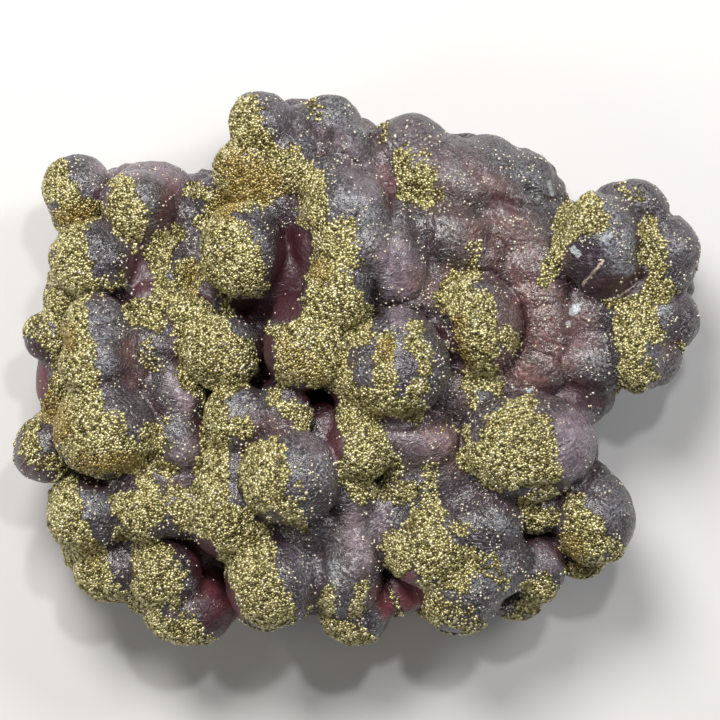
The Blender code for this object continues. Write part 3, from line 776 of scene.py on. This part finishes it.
def rough_skin():
    """The bodies grown into one fine skin."""
    sphere, sphere_faces = unit_template(bmesh.ops.create_icosphere, subdivisions=3, radius=1)
    rod, rod_faces = unit_template(
        bmesh.ops.create_cone, cap_ends=True, segments=16, radius1=1, radius2=1, depth=1
    )
    corners, faces, offset = [], [], 0
    for body in BODIES:
        own = body_corners(body, sphere, rod)
        corners.append(own)
        faces.append((sphere_faces if body.foot is None else rod_faces) + offset)
        offset += len(own)
    item = add_object("skin", mesh_of("skin", np.vstack(corners), np.vstack(faces)))
    remesh = item.modifiers.new("grow_together", "REMESH")
    remesh.mode = "VOXEL"
    remesh.voxel_size = VOXEL_SIZE
    remesh.adaptivity = 0
    skin = evaluated_mesh(item)
    bpy.data.objects.remove(item)
    return skin


def near_bodies(points, margin):
    """Each body with the indices of the points that lie near it."""
    for body in BODIES:
        middle, reach = body.middle_and_reach()
        offset = points - middle
        near = np.flatnonzero(np.einsum("ij,ij->i", offset, offset) < (reach + margin) ** 2)
        if len(near):
            yield body, near


def nearness(away, width):
    """How much a body counts at a distance: it falls off over the width."""
    return np.exp(np.clip(-away / width, -WEIGHT_LIMIT, WEIGHT_LIMIT))


def union_field(points, width):
    """Signed distance from the smooth union of all bodies, and its outward direction."""
    width = np.broadcast_to(width, len(points))
    total = np.full(len(points), TINIEST)
    slope = np.zeros_like(points)
    for body, near in near_bodies(points, width.max() * UNION_REACH):
        away, direction = body.distance(points[near])
        weight = nearness(away, width[near])
        total[near] += weight
        slope[near] += weight[:, None] * direction
    length = np.linalg.norm(slope, axis=1) + TINIEST
    return -width * np.log(total), slope / length[:, None]


def snap_to_union(points):
    """Moves the points of the rough skin onto the smooth union."""
    soft = stroke_field(picture_places(points), SOFT_STROKES, SOFT_SOFTNESS)
    soft = soft * smooth_rise(points[:, 2], *SEEN_BAND)
    width = CREASE_WIDTH + (SOFT_WIDTH - CREASE_WIDTH) * soft
    for _ in range(SNAP_STEPS):
        away, direction = union_field(points, width)
        step = np.clip(away, -SNAP_LIMIT, SNAP_LIMIT)
        points = points - direction * step[:, None]
    return points


def pyrite_margin(body, points, normals):
    """How far inside a body's pyrite each point lies, as an angle round the body. Below 0 is bare."""
    if body.gold_reach == 0:
        return np.full(len(points), BARE_MARGIN)
    lift, bearing = math.cos(GOLD_LIFT), body.gold_bearing
    towards = np.array([lift * math.cos(bearing), lift * math.sin(bearing), math.sin(GOLD_LIFT)])
    if body.foot is None:
        facing = points - body.centre
        facing /= np.linalg.norm(facing, axis=1)[:, None] + TINY
    else:
        facing = normals
    angle = np.arccos(np.clip(facing @ towards, -1, 1))
    return body.gold_reach - angle


def look_fields(points, normals):
    """The tint, the pyrite's margin and the distance from the growth rings' middle at each point."""
    total = np.full(len(points), TINIEST)
    tint = np.zeros(len(points))
    gold = np.zeros(len(points))
    best = np.full(len(points), np.inf)
    ring = np.zeros(len(points))
    for body, near in near_bodies(points, TINT_WIDTH * TINT_REACH):
        here = points[near]
        away, _ = body.distance(here)
        weight = nearness(away, TINT_WIDTH)
        total[near] += weight
        tint[near] += weight * body.tint
        gold[near] += weight * pyrite_margin(body, here, normals[near])
        closer = away < best[near]
        chosen = near[closer]
        best[chosen] = away[closer]
        middle = body.centre + np.array(RING_MIDDLE) * body.sizes.mean()
        ring[chosen] = np.linalg.norm(points[chosen] - middle, axis=1)
    return tint / total, gold / total, ring


def picture_places(points):
    """Where points of the frame stand in the photograph's frame, in pixels."""
    scale = (CAMERA_HEIGHT - FACE_HEIGHT) / (CAMERA_HEIGHT - points[:, 2]) / PIXEL_SIZE
    across = FRAME_PIXELS / 2 + (points[:, 0] - VIEW_CENTRE[0]) * scale
    down = FRAME_PIXELS / 2 - (points[:, 1] - VIEW_CENTRE[1]) * scale
    return np.stack([across, down], axis=1)


def stroke_field(places, strokes, softness, wander=0.0):
    """How strongly the strokes cover each place: the strength inside, falling to 0 over the softness."""
    field = np.zeros(len(places))
    for x0, y0, x1, y1, half_width, strength in strokes:
        start, along = np.array([x0, y0], float), np.array([x1 - x0, y1 - y0], float)
        reach = half_width + np.abs(along).max() / 2 + softness * 2 + STROKE_MARGIN
        near = np.flatnonzero(np.abs(places - start - along / 2).max(axis=1) < reach)
        offset = places[near] - start
        share = np.clip(offset @ along / max(along @ along, TINY), 0, 1)
        away = np.linalg.norm(offset - share[:, None] * along, axis=1) - half_width
        away = away + (wander[near] if np.ndim(wander) else wander)
        field[near] = np.maximum(field[near], strength * (1 - smooth_rise(away, -softness, softness)))
    return field


def hollow_depth(points, normals):
    """0 on open ground and 1 deep between bulbs: how thickly the painted shade lies in the hollows."""
    away, _ = union_field(points + normals * HOLLOW_REACH, CREASE_WIDTH)
    return np.clip(1 - away / HOLLOW_REACH, 0, 1)


def store(mesh, name, values, where="POINT"):
    attribute = mesh.attributes.new(name, "FLOAT", where)
    attribute.data.foreach_set("value", values.astype(np.float32))


def flatten_bottom(mesh):
    """Cuts the mesh at the height of the flat cut and closes it with a flat face."""
    shape = bmesh.new()
    shape.from_mesh(mesh)
    everything = shape.verts[:] + shape.edges[:] + shape.faces[:]
    cut = bmesh.ops.bisect_plane(
        shape, geom=everything, plane_co=(0, 0, 0), plane_no=(0, 0, -1), clear_outer=True
    )
    edges = [item for item in cut["geom_cut"] if isinstance(item, bmesh.types.BMEdge)]
    bmesh.ops.triangle_fill(shape, use_beauty=True, edges=edges, normal=(0, 0, -1))
    shape.to_mesh(mesh)
    shape.free()


def outer_skin(mesh):
    """Keeps the outermost shell, so that no sealed pocket is left between stems."""
    shape = bmesh.new()
    shape.from_mesh(mesh)
    unseen = set(shape.verts)
    shells = []
    while unseen:
        start = unseen.pop()
        shell = [start]
        for corner in shell:
            for edge in corner.link_edges:
                other = edge.other_vert(corner)
                if other in unseen:
                    unseen.remove(other)
                    shell.append(other)
        shells.append(shell)
    for shell in sorted(shells, key=len)[:-1]:
        bmesh.ops.delete(shape, geom=shell, context="VERTS")
    shape.to_mesh(mesh)
    shape.free()


def skin_relief(points, ring, places):
    """How far the skin stands out at each point: lumps, growth ridges, grooves, chips and cobbles."""
    relief = sum(noise_at(points, size, shift) * height for size, height, shift in SKIN_LUMPS)
    waves = (ring + noise_at(points, 3 * MM, 9.0) * RIDGE_WANDER) / RIDGE_SPACING
    ridge = np.sin(waves * math.tau) * RIDGE_HEIGHT
    relief += ridge * smooth_rise(noise_at(points, 9 * MM, 3.0), *RIDGE_PATCHES)
    relief -= stroke_field(places, GROOVE_STROKES, GROOVE_SOFTNESS) * MM
    chips = sum(
        np.round(noise_at(points, size, shift) * levels) * share for size, shift, levels, share in CHIP_SIZES
    )
    relief += chips * CHIP_STEP * chipped(points)
    relief += (COBBLE_REST - cobble_distance(points) ** 2) * COBBLE_HEIGHT * flank(points)
    return relief


def chipped(points):
    """Where the mass broke off near the flat cut: 1 low down, fading upwards along a ragged line."""
    ragged = noise_at(points, 9 * MM, 19.0) * CHIP_RAGGED
    return 1 - smooth_rise(points[:, 2] + ragged, *CHIP_BAND)


def flank(points):
    """1 low on the sides and 0 on the display face."""
    return 1 - smooth_rise(points[:, 2], *COBBLE_BAND)


def cobble_distance(points):
    """How far each point is from the middle of the nearest of the flank's small growths, in their size."""
    scaled = points / COBBLE_SIZE
    return np.array([noise.voronoi(Vector(point))[0][0] for point in scaled])


def break_off(points):
    """The points with the broken faces cut, and how much each point belongs to one."""
    points = points.copy()
    broken = np.zeros(len(points))
    for x, y, z, bearing, tilt, away, reach in BREAKS:
        centre = np.array([x, y, z]) * MM
        bearing, tilt = math.radians(bearing), math.radians(tilt)
        sideways = math.sin(tilt)
        normal = np.array([sideways * math.cos(bearing), sideways * math.sin(bearing), math.cos(tilt)])
        offset = points - centre
        beyond = offset @ normal - away * MM
        cut = np.flatnonzero((beyond > 0) & (np.linalg.norm(offset, axis=1) < reach * MM))
        fade = 1 - smooth_rise(
            np.linalg.norm(offset[cut], axis=1), (reach - BREAK_FADE) * MM, reach * MM
        )
        ledges = noise_at(points[cut] * LEDGE_STRETCH, LEDGE_SIZE, 6.0)
        steps = np.round(ledges * LEDGE_LEVELS) / LEDGE_LEVELS * LEDGE_HEIGHT
        points[cut] -= normal * ((beyond[cut] - np.minimum(steps, beyond[cut]) * LEDGE_SHARE) * fade)[:, None]
        broken[cut] = np.maximum(broken[cut], smooth_rise(beyond[cut], 0, BREAK_EDGE) * fade)
    return points, broken


def pyrite_cover(points, places, rule, seen):
    """How thickly the pyrite lies: the strokes on the display face, a rule by bulb on the hidden sides."""
    wander = noise_at(points, 4.5 * MM, 11.0) * 4.0 + noise_at(points, 1.5 * MM, 5.0) * 4.0
    drawn = stroke_field(places, PYRITE_STROKES, PYRITE_SOFTNESS, wander - PYRITE_SPREAD)
    clumps = noise_at(points, 1.7 * MM, 2.0) * CLUMP_SHARE
    drawn = np.where(drawn > SOLID_COVER, drawn, drawn + clumps * np.minimum(drawn * 2, 1))
    edge = noise_at(points, 5 * MM, 11.0) * 0.30 + noise_at(points, 1.8 * MM, 5.0) * 0.25
    ruled = smooth_rise(rule + edge, -GOLD_EDGE, GOLD_EDGE)
    return np.clip(ruled + (drawn - ruled) * seen, 0, 1)


def drawn_looks(points, normals, places, rule):
    """The fields that the strokes draw on the skin, each by its name."""
    seen = smooth_rise(points[:, 2], *SEEN_BAND)
    crevice = smooth_rise(points[:, 2], *CREVICE_BAND)
    in_view = seen * smooth_rise(normals[:, 2], *FACING_BAND)
    wander = noise_at(points, 3.0 * MM, 8.0) * STROKE_WANDER
    looks = {}
    for name, strokes, softness, deep in LOOK_STROKES:
        drawn = stroke_field(places, strokes, softness, wander * softness / WANDER_SOFTNESS)
        looks[name] = drawn * (crevice if deep else seen)
    wine = stroke_field(places, WINE_STROKES, WINE_SOFTNESS, wander * WINE_SOFTNESS / WANDER_SOFTNESS)
    looks["gold"] = pyrite_cover(points, places, rule, in_view) * (1 - BARE_WINE * wine * seen)
    looks["halo"] = stroke_field(places, PYRITE_STROKES, HALO_SOFTNESS) * in_view
    return looks, seen


def make_fluorite():
    mesh = rough_skin()
    outer_skin(mesh)
    points = snap_to_union(corner_values(mesh, "co"))
    set_points(mesh, points)
    normals = corner_values(mesh, "normal")
    tint, rule, ring = look_fields(points, normals)
    places = picture_places(points)
    relief = skin_relief(points, ring, places)
    chips = chipped(points) * CHIP_GLOSS
    points, broken = break_off(points + normals * relief[:, None])
    set_points(mesh, points)
    looks, seen = drawn_looks(points, normals, places, rule)
    looks["broken"] = np.maximum(broken, chips)
    looks["tint"] = tint * (1 - seen)
    looks["ring"] = ring / MM
    looks["hollow"] = hollow_depth(points, normals)
    for name, values in looks.items():
        store(mesh, name, values)
    flatten_bottom(mesh)
    mesh.shade_smooth()
    mesh.name = "fluorite"
    return add_object("fluorite", mesh)


def triangle_table(mesh):
    mesh.calc_loop_triangles()
    corners = np.empty(len(mesh.loop_triangles) * 3, np.int32)
    mesh.loop_triangles.foreach_get("vertices", corners)
    return corners.reshape(-1, 3)


def attribute_values(mesh, name):
    values = np.empty(len(mesh.vertices), np.float32)
    mesh.attributes[name].data.foreach_get("value", values)
    return values.astype(float)


def scatter_places(skin, per_area, rng):
    """Random places on the skin: points, outward directions, and the looks of the skin there."""
    points, normals = corner_values(skin, "co"), corner_values(skin, "normal")
    corners = triangle_table(skin)
    a, b, c = (points[corners[:, k]] for k in range(3))
    area = np.linalg.norm(np.cross(b - a, c - a), axis=1) / 2
    count = int(area.sum() * per_area)
    pick = rng.choice(len(area), size=count, p=area / area.sum())
    u, v = rng.random(count), rng.random(count)
    over = u + v > 1
    u[over], v[over] = 1 - u[over], 1 - v[over]
    share = np.stack([1 - u - v, u, v], axis=1)
    chosen = corners[pick]
    place = np.einsum("ik,ikj->ij", share, points[chosen])
    out = np.einsum("ik,ikj->ij", share, normals[chosen])
    out /= np.linalg.norm(out, axis=1)[:, None] + TINY
    names = ("gold", "rust", "wine", "mauve", "halo")
    looks = [np.einsum("ik,ik->i", share, attribute_values(skin, name)[chosen]) for name in names]
    return place, out, *looks


def thin_out(places, gap):
    """The indices of places that keep at least a gap to those kept before them."""
    cells = {}
    kept = []
    keys = np.floor(places / gap).astype(int)
    reach = (-1, 0, 1)
    around = [(i, j, k) for i in reach for j in reach for k in reach]
    for index, (key, place) in enumerate(zip(map(tuple, keys), places)):
        crowded = False
        for i, j, k in around:
            other = cells.get((key[0] + i, key[1] + j, key[2] + k))
            if other is None:
                continue
            step = places[other] - place
            if step @ step < gap * gap:
                crowded = True
                break
        if not crowded:
            cells[key] = index
            kept.append(index)
    return np.array(kept)


def random_turns(count, rng):
    """Evenly random rotation matrices."""
    q = rng.normal(size=(count, 4))
    q /= np.linalg.norm(q, axis=1)[:, None]
    w, x, y, z = q.T
    return np.stack([
        np.stack([1 - 2 * (y * y + z * z), 2 * (x * y - z * w), 2 * (x * z + y * w)], axis=1),
        np.stack([2 * (x * y + z * w), 1 - 2 * (x * x + z * z), 2 * (y * z - x * w)], axis=1),
        np.stack([2 * (x * z - y * w), 2 * (y * z + x * w), 1 - 2 * (x * x + y * y)], axis=1),
    ], axis=1)


def crystals_mesh(name, grains, rng):
    """Many small crystals in one mesh, each turned its own way and half sunk in the skin."""
    places, out, lone, rust = grains
    count = len(places)
    small, large = GRAIN_SIZE
    size = small + (large - small) * rng.random(count) ** GRAIN_SIZE_BIAS
    size *= np.where(lone, LONE_GRAIN_SIZE * (0.7 + 0.6 * rng.random(count)), 1)
    stretch = 1 + GRAIN_STRETCH * (rng.random((count, 1, 3)) - 0.5)
    corners = CUBE_CORNERS[None] * size[:, None, None] * stretch
    corners = np.einsum("nij,nkj->nki", random_turns(count, rng), corners)
    flat = np.einsum("nkj,nj->nk", corners, out)
    corners -= flat[:, :, None] * out[:, None] * GRAIN_FLATNESS
    corners += (places + out * size[:, None] * GRAIN_LIFT)[:, None]
    faces = CUBE_FACES[None] + (np.arange(count) * len(CUBE_CORNERS))[:, None, None]
    mesh = mesh_of(name, corners.reshape(-1, 3), faces.reshape(-1, 4))
    tone = rng.random(count)
    grain = np.where(lone, LONE_TONE + (1 - LONE_TONE) * tone, CROWD_TONE * tone)
    for label, values in (("grain", grain), ("rust", rust)):
        store(mesh, label, np.repeat(values, len(CUBE_FACES)), "FACE")
    return mesh


def make_pyrite(skin):
    rng = np.random.default_rng(SEED)
    places, out, cover, rust, wine, mauve, halo = scatter_places(skin.data, CANDIDATES_PER_AREA, rng)
    upward = smooth_rise(out[:, 2], 0.1, 0.7) * (1 - wine) * (1 - 0.7 * mauve)
    flocks = smooth_rise(noise_at(places, 5 * MM, 21.0), -0.15, 0.5)
    dust = upward * (0.045 * flocks + 0.07 * halo * (0.3 + flocks))
    chance = smooth_rise(cover, *COVER_BAND) ** COVER_BIAS + STRAY_CHANCE + dust
    wanted = (rng.random(len(places)) < chance) & (places[:, 2] > LOWEST_GRAIN)
    grains = [values[wanted] for values in (places, out, cover < LONE_COVER, rust)]
    kept = thin_out(grains[0], GRAIN_GAP)
    grains = [values[kept] for values in grains]
    order = np.argsort(grains[0][:, 0], kind="stable")
    parts = math.ceil(len(order) / GRAINS_PER_PIECE)
    pieces = []
    for number, chosen in enumerate(np.array_split(order, parts)):
        name = f"pyrite_{number + 1}"
        mesh = crystals_mesh(name, [values[chosen] for values in grains], rng)
        pieces.append(add_object(name, mesh))
    return pieces


class Nodes:
    """A short way to build a material's nodes."""

    def __init__(self, name):
        self.material = bpy.data.materials.new(name)
        self.material.use_nodes = True
        self.tree = self.material.node_tree
        self.shader = self.tree.nodes["Principled BSDF"]

    def add(self, kind, inputs=None, **settings):
        node = self.tree.nodes.new(kind)
        for key, value in settings.items():
            setattr(node, key, value)
        for key, value in (inputs or {}).items():
            self.set(node.inputs[key], value)
        return node

    def set(self, socket, value):
        if isinstance(value, bpy.types.NodeSocket):
            self.tree.links.new(value, socket)
        else:
            socket.default_value = value

    def dress(self, looks):
        """Sets the shader's own sockets, each to a number, a colour or a pattern."""
        for name, value in looks.items():
            self.set(self.shader.inputs[name], value)

    def value(self, name):
        return self.add("ShaderNodeAttribute", attribute_name=name).outputs["Fac"]

    def place(self):
        return self.add("ShaderNodeTexCoord").outputs["Object"]

    def math(self, operation, a, b=0.0, c=0.0, clamp=False):
        node = self.add("ShaderNodeMath", operation=operation, use_clamp=clamp)
        for socket, value in zip(node.inputs, (a, b, c)):
            self.set(socket, value)
        return node.outputs[0]

    def times(self, a, b):
        return self.math("MULTIPLY", a, b)

    def scaled(self, value, gain, lift, clamp=False):
        """The value times the gain, plus the lift."""
        return self.math("MULTIPLY_ADD", value, gain, lift, clamp=clamp)

    def vector(self, operation, a, b=None, **inputs):
        sockets = {0: a, **inputs}
        if b is not None:
            sockets[1] = b
        node = self.add("ShaderNodeVectorMath", sockets, operation=operation)
        return node.outputs["Value" if operation in ("LENGTH", "DOT_PRODUCT") else "Vector"]

    def noise(self, size, detail=3.0, roughness=0.55, where=None, output="Fac"):
        node = self.add("ShaderNodeTexNoise", {"Scale": 1 / size, "Detail": detail, "Roughness": roughness})
        self.set(node.inputs["Vector"], where or self.place())
        return node.outputs[output]

    def stretched(self, **settings):
        """The place on the skin, turned or stretched for a pattern."""
        inputs = {"Vector": self.place(), **settings}
        return self.add("ShaderNodeMapping", inputs).outputs[0]

    def ramp(self, factor, stops):
        node = self.add("ShaderNodeValToRGB", {"Fac": factor})
        while len(node.color_ramp.elements) < len(stops):
            node.color_ramp.elements.new(0.5)
        for element, (place, colour) in zip(node.color_ramp.elements, stops):
            element.position = place
            element.color = linear(colour)
        return node.outputs["Color"]

    def mix(self, factor, a, b, blend="MIX"):
        node = self.add("ShaderNodeMix", data_type="RGBA", blend_type=blend)
        self.set(node.inputs[0], factor)
        self.set(node.inputs[6], a)
        self.set(node.inputs[7], b)
        return node.outputs[2]

    def blend(self, factor, colours):
        """A mix of two screen colours."""
        return self.mix(factor, *map(linear, colours))

    def paint(self, body, cover, share, colour):
        """A screen colour laid over the body's, as thickly as cover and share say."""
        return self.mix(self.times(cover, share), body, linear(colour))

    def picture_place(self):
        """Where the surface stands in the photograph's frame, in pixels, and 1 where it is high up."""
        x, y, z = self.add("ShaderNodeSeparateXYZ", {0: self.place()}).outputs
        depth = self.math("SUBTRACT", CAMERA_HEIGHT, z)
        scale = self.math("DIVIDE", (CAMERA_HEIGHT - FACE_HEIGHT) / PIXEL_SIZE, depth)
        across = self.scaled(self.math("SUBTRACT", x, VIEW_CENTRE[0]), scale, FRAME_PIXELS / 2)
        down = self.scaled(self.math("SUBTRACT", VIEW_CENTRE[1], y), scale, FRAME_PIXELS / 2)
        low, top = CRISP_BAND
        high = self.scaled(z, 1 / (top - low), -low / (top - low), clamp=True)
        return self.add("ShaderNodeCombineXYZ", {0: across, 1: down}).outputs[0], high

    def crisp_strokes(self, place, strokes):
        """How strongly thin strokes cover the surface, for marks finer than the mesh."""
        cover = 0.0
        for x0, y0, x1, y1, half_width, strength in strokes:
            along = (x1 - x0, y1 - y0, 0)
            length = along[0] ** 2 + along[1] ** 2
            offset = self.vector("SUBTRACT", place, (x0, y0, 0))
            share = self.vector("DOT_PRODUCT", offset, [step / length for step in along])
            share = self.math("ADD", share, 0.0, clamp=True)
            foot = self.vector("SCALE", along, Scale=share)
            away = self.vector("LENGTH", self.vector("SUBTRACT", offset, foot))
            edge = self.scaled(away, -1 / CRISP_SOFTNESS, half_width / CRISP_SOFTNESS + 0.5, clamp=True)
            cover = self.math("MAXIMUM", cover, self.times(edge, strength))
        return cover


def linear(colour):
    """A colour as seen on a screen, in the shader's linear values."""
    shares = [part / 255 for part in colour]
    return (*((s / 12.92 if s <= 0.04 else ((s + 0.055) / 1.055) ** 2.4) for s in shares), 1)


def bare_skin(n, masks, wrinkle, lively, facets):
    """The colour of the fluorite's grown skin, with painted sheen, highlights and shade laid on it."""
    flush = n.times(masks["pink"], n.scaled(n.noise(3 * MM), 1.2, 0.2, clamp=True))
    body = n.blend(n.noise(5 * MM, 4.0), SKIN_SHADES)
    body = n.mix(n.scaled(lively, -0.45, 0.45), body, linear(CALM_SKIN))
    for cover, share, colour in (
        (masks["warm"], 0.85, WARM_SKIN),
        (masks["tint"], 0.8, FLANK_SKIN),
        (masks["mauve"], 0.75, MAUVE_SKIN),
        (flush, 0.70, PINK_SKIN),
    ):
        body = n.paint(body, cover, share, colour)

    # Light and dark: the facets' own tones, cloudy patches and the darkest places, which are partly painted
    # shade
    tone = n.add("ShaderNodeSeparateColor", {"Color": facets}).outputs["Red"]
    light = n.scaled(n.math("POWER", tone, 2.0), 0.55, 0.75)
    light = n.times(light, n.scaled(n.noise(1.8 * MM, 2.0), 1.7, 0.15))
    light = n.times(light, n.scaled(masks["shade_and_dark"], -0.6, 1.0))
    grey = n.add("ShaderNodeCombineColor", {0: light, 1: light, 2: light}).outputs[0]
    body = n.mix(1.0, body, grey, "MULTIPLY")

    # Painted sheen, painted highlights on the wrinkles, pale specks, and painted shade in the hollows between
    # bulbs
    painted_sheen_cover = n.times(masks["painted_sheen"], n.scaled(n.noise(0.7 * MM, 1.0), 5.0, -2.1, clamp=True))
    # How thickly the painted highlight lies on the wrinkles: less on pink and dark skin
    wrinkle_highlight_share = n.scaled(n.math("MAXIMUM", masks["pink"], masks["shade_and_dark"]), -0.28, 0.40)
    speck = n.scaled(n.noise(0.42 * MM, 1.0), 12.0, -7.8, clamp=True)
    depth = n.math("POWER", masks["hollow"], 1.6)
    for cover, share, colour in (
        (painted_sheen_cover, 0.7, PAINTED_SHEEN),
        (wrinkle, wrinkle_highlight_share, WRINKLE_HIGHLIGHT),
        (speck, 0.6, SPECK),
        (depth, 0.8, HOLLOW_SHADE),
    ):
        body = n.paint(body, cover, share, colour)
    return body


def crisp_marks(n, body):
    """The chips, a painted highlight and the seam, drawn finer than the mesh and with ragged edges."""
    place, high = n.picture_place()
    ragged = n.noise(0.9 * MM, 2.0, 0.5, output="Color")
    ragged = n.vector("SCALE", n.vector("SUBTRACT", ragged, (0.5, 0.5, 0.5)), Scale=CRISP_RAGGED)
    place = n.vector("ADD", place, ragged)
    for strokes, colour in ((CHIP_AND_HIGHLIGHT_STROKES, CHIP_AND_HIGHLIGHT_PALE), (SEAM_STROKES, SEAM_PALE)):
        body = n.paint(body, n.crisp_strokes(place, strokes), high, colour)
    return body


def fluorite_material():
    n = Nodes("fluorite")
    masks = {name: n.value(name) for name in FLUORITE_MASKS}
    wine, broken = masks["wine"], masks["broken"]
    rough = n.scaled(n.math("MAXIMUM", wine, broken), -0.55, 1.0)
    fine = n.noise(0.7 * MM, 3.0, 0.7)
    cells = n.add("ShaderNodeTexVoronoi", {"Scale": 1 / FACET_SIZE, "Vector": n.place()})
    facets = cells.outputs["Color"]

    # Wrinkles: winding contour lines of a noise, in patches with calm skin between them
    long_way = n.stretched(Scale=(0.7, 1.0, 1.0))
    swirl = n.math("SINE", n.times(n.noise(3 * MM, 1.0, 0.4, where=long_way), WRINKLE_COUNT))
    lively = n.scaled(n.noise(7 * MM, 2.0), 3.6, -1.3, clamp=True)
    wrinkle = n.times(n.scaled(swirl, 1.6, -0.4, clamp=True), lively)
    body = bare_skin(n, masks, wrinkle, lively, facets)

    # Broken faces, dark and glassy with fine striations, then the wine-red depths, lighter where pink lies as
    # a painted glow of light through thin walls, and the pyrite's bed, which is also painted shade between
    # the crystals
    striped = n.stretched(Rotation=(0, 0, 0.45), Scale=(0.25, 1.6, 1.0))
    grooves = n.noise(1.4 * MM, 3.0, 0.7, where=striped)
    streak = n.scaled(grooves, 7.0, -3.9, clamp=True)
    face = n.blend(n.times(streak, 0.5), BROKEN_SHADES)
    body = n.mix(n.times(broken, 0.9), body, face)
    body = n.mix(n.times(wine, 0.92), body, n.blend(masks["pink"], WINE_DEPTH_AND_GLOW))
    # Under the pyrite: dark golden-brown ground that also stands as painted shade between the crystals
    bed_and_gap_shade = n.blend(n.noise(0.8 * MM), BED_AND_GAP_SHADE)
    body = n.mix(n.scaled(masks["gold"], 1.8, -0.75, clamp=True), body, bed_and_gap_shade)
    body = crisp_marks(n, body)

    # Small crystal facets that tilt the skin, growth rings, wrinkles and striations
    tilt = n.vector("SUBTRACT", facets, (0.5, 0.5, 0.5))
    tilt = n.vector("SCALE", tilt, Scale=n.times(rough, FACET_TILT))
    facing = n.add("ShaderNodeNewGeometry").outputs["Normal"]
    facet = n.vector("NORMALIZE", n.vector("ADD", facing, tilt))
    growth = n.scaled(n.noise(2.2 * MM, 2.0), 5.0, n.times(masks["ring"], math.tau / RING_SPACING))
    height = n.scaled(n.math("SINE", growth), 0.06, n.times(fine, 0.35))
    height = n.scaled(wrinkle, 0.50, height)
    height = n.scaled(n.times(broken, grooves), 2.5, height)
    strength = n.math("MAXIMUM", rough, broken)
    bump = n.add("ShaderNodeBump", {
        "Strength": strength, "Distance": BUMP_DEPTH, "Height": height, "Normal": facet,
    })
    n.dress({
        "Base Color": body,
        "Roughness": n.scaled(fine, 0.30, n.scaled(wine, 0.20, 0.12)),
        "Normal": bump.outputs[0],
        "Specular IOR Level": 1.0,
        "IOR": FLUORITE_IOR,
        "Subsurface Weight": 0.06,
        "Subsurface Radius": (1.0, 0.35, 0.45),
        "Subsurface Scale": 2.0 * MM,
    })
    return n.material


def pyrite_material():
    n = Nodes("pyrite")
    colour = n.ramp(n.value("grain"), PYRITE_TONES)
    n.dress({
        "Base Color": n.paint(colour, n.value("rust"), 0.6, PYRITE_RUST),
        "Metallic": 0.75,
        "Roughness": n.scaled(n.noise(0.5 * MM), 0.3, 0.28),
    })
    return n.material


def make_floor():
    shape = bmesh.new()
    bmesh.ops.create_grid(shape, x_segments=1, y_segments=1, size=FLOOR_HALF_SIZE)
    mesh = bpy.data.meshes.new("floor")
    shape.to_mesh(mesh)
    shape.free()
    floor = add_object("floor", mesh)
    n = Nodes("floor")
    n.dress({"Base Color": FLOOR_COLOUR, "Roughness": 0.7})
    floor.data.materials.append(n.material)
    floor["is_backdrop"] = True


def make_lights():
    """Soft studio lights, all aimed at the middle of the specimen, in a dim even surround."""
    world = bpy.data.worlds.new("studio")
    world.use_nodes = True
    background = world.node_tree.nodes["Background"]
    background.inputs["Color"].default_value = SURROUND_COLOUR
    background.inputs["Strength"].default_value = SURROUND_STRENGTH
    bpy.context.scene.world = world
    bpy.context.scene.view_settings.view_transform = "Standard"
    for name, where, size, power, colour in LIGHTS:
        light = bpy.data.lights.new(name, "AREA")
        light.shape = "DISK"
        light.size = size
        light.energy = power
        light.color = colour
        item = add_object(name, light)
        item.location = where
        item.rotation_euler = (Vector(LIGHT_TARGET) - Vector(where)).to_track_quat("-Z", "Y").to_euler()


def make_camera():
    """The camera straight above the display face, with the photograph's framing."""
    camera = bpy.data.cameras.new("camera")
    camera.sensor_width = SENSOR_WIDTH
    camera.lens = SENSOR_WIDTH * (CAMERA_HEIGHT - FACE_HEIGHT) / (FRAME_PIXELS * PIXEL_SIZE)
    item = add_object("camera", camera)
    item.location = (*VIEW_CENTRE, CAMERA_HEIGHT)
    bpy.context.scene.camera = item


def main():
    fluorite = make_fluorite()
    fluorite.data.materials.clear()
    fluorite.data.materials.append(fluorite_material())
    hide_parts("fluorite_mass")
    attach(fluorite, "root")
    brass = pyrite_material()
    for piece in make_pyrite(fluorite):
        piece.data.materials.append(brass)
        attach(piece, "root")
    make_floor()
    make_lights()
    make_camera()
    boxes = {"cad": CAD_BOX, "visual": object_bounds()}
    {name: [list(corner) for corner in box] for name, box in boxes.items()}


main()
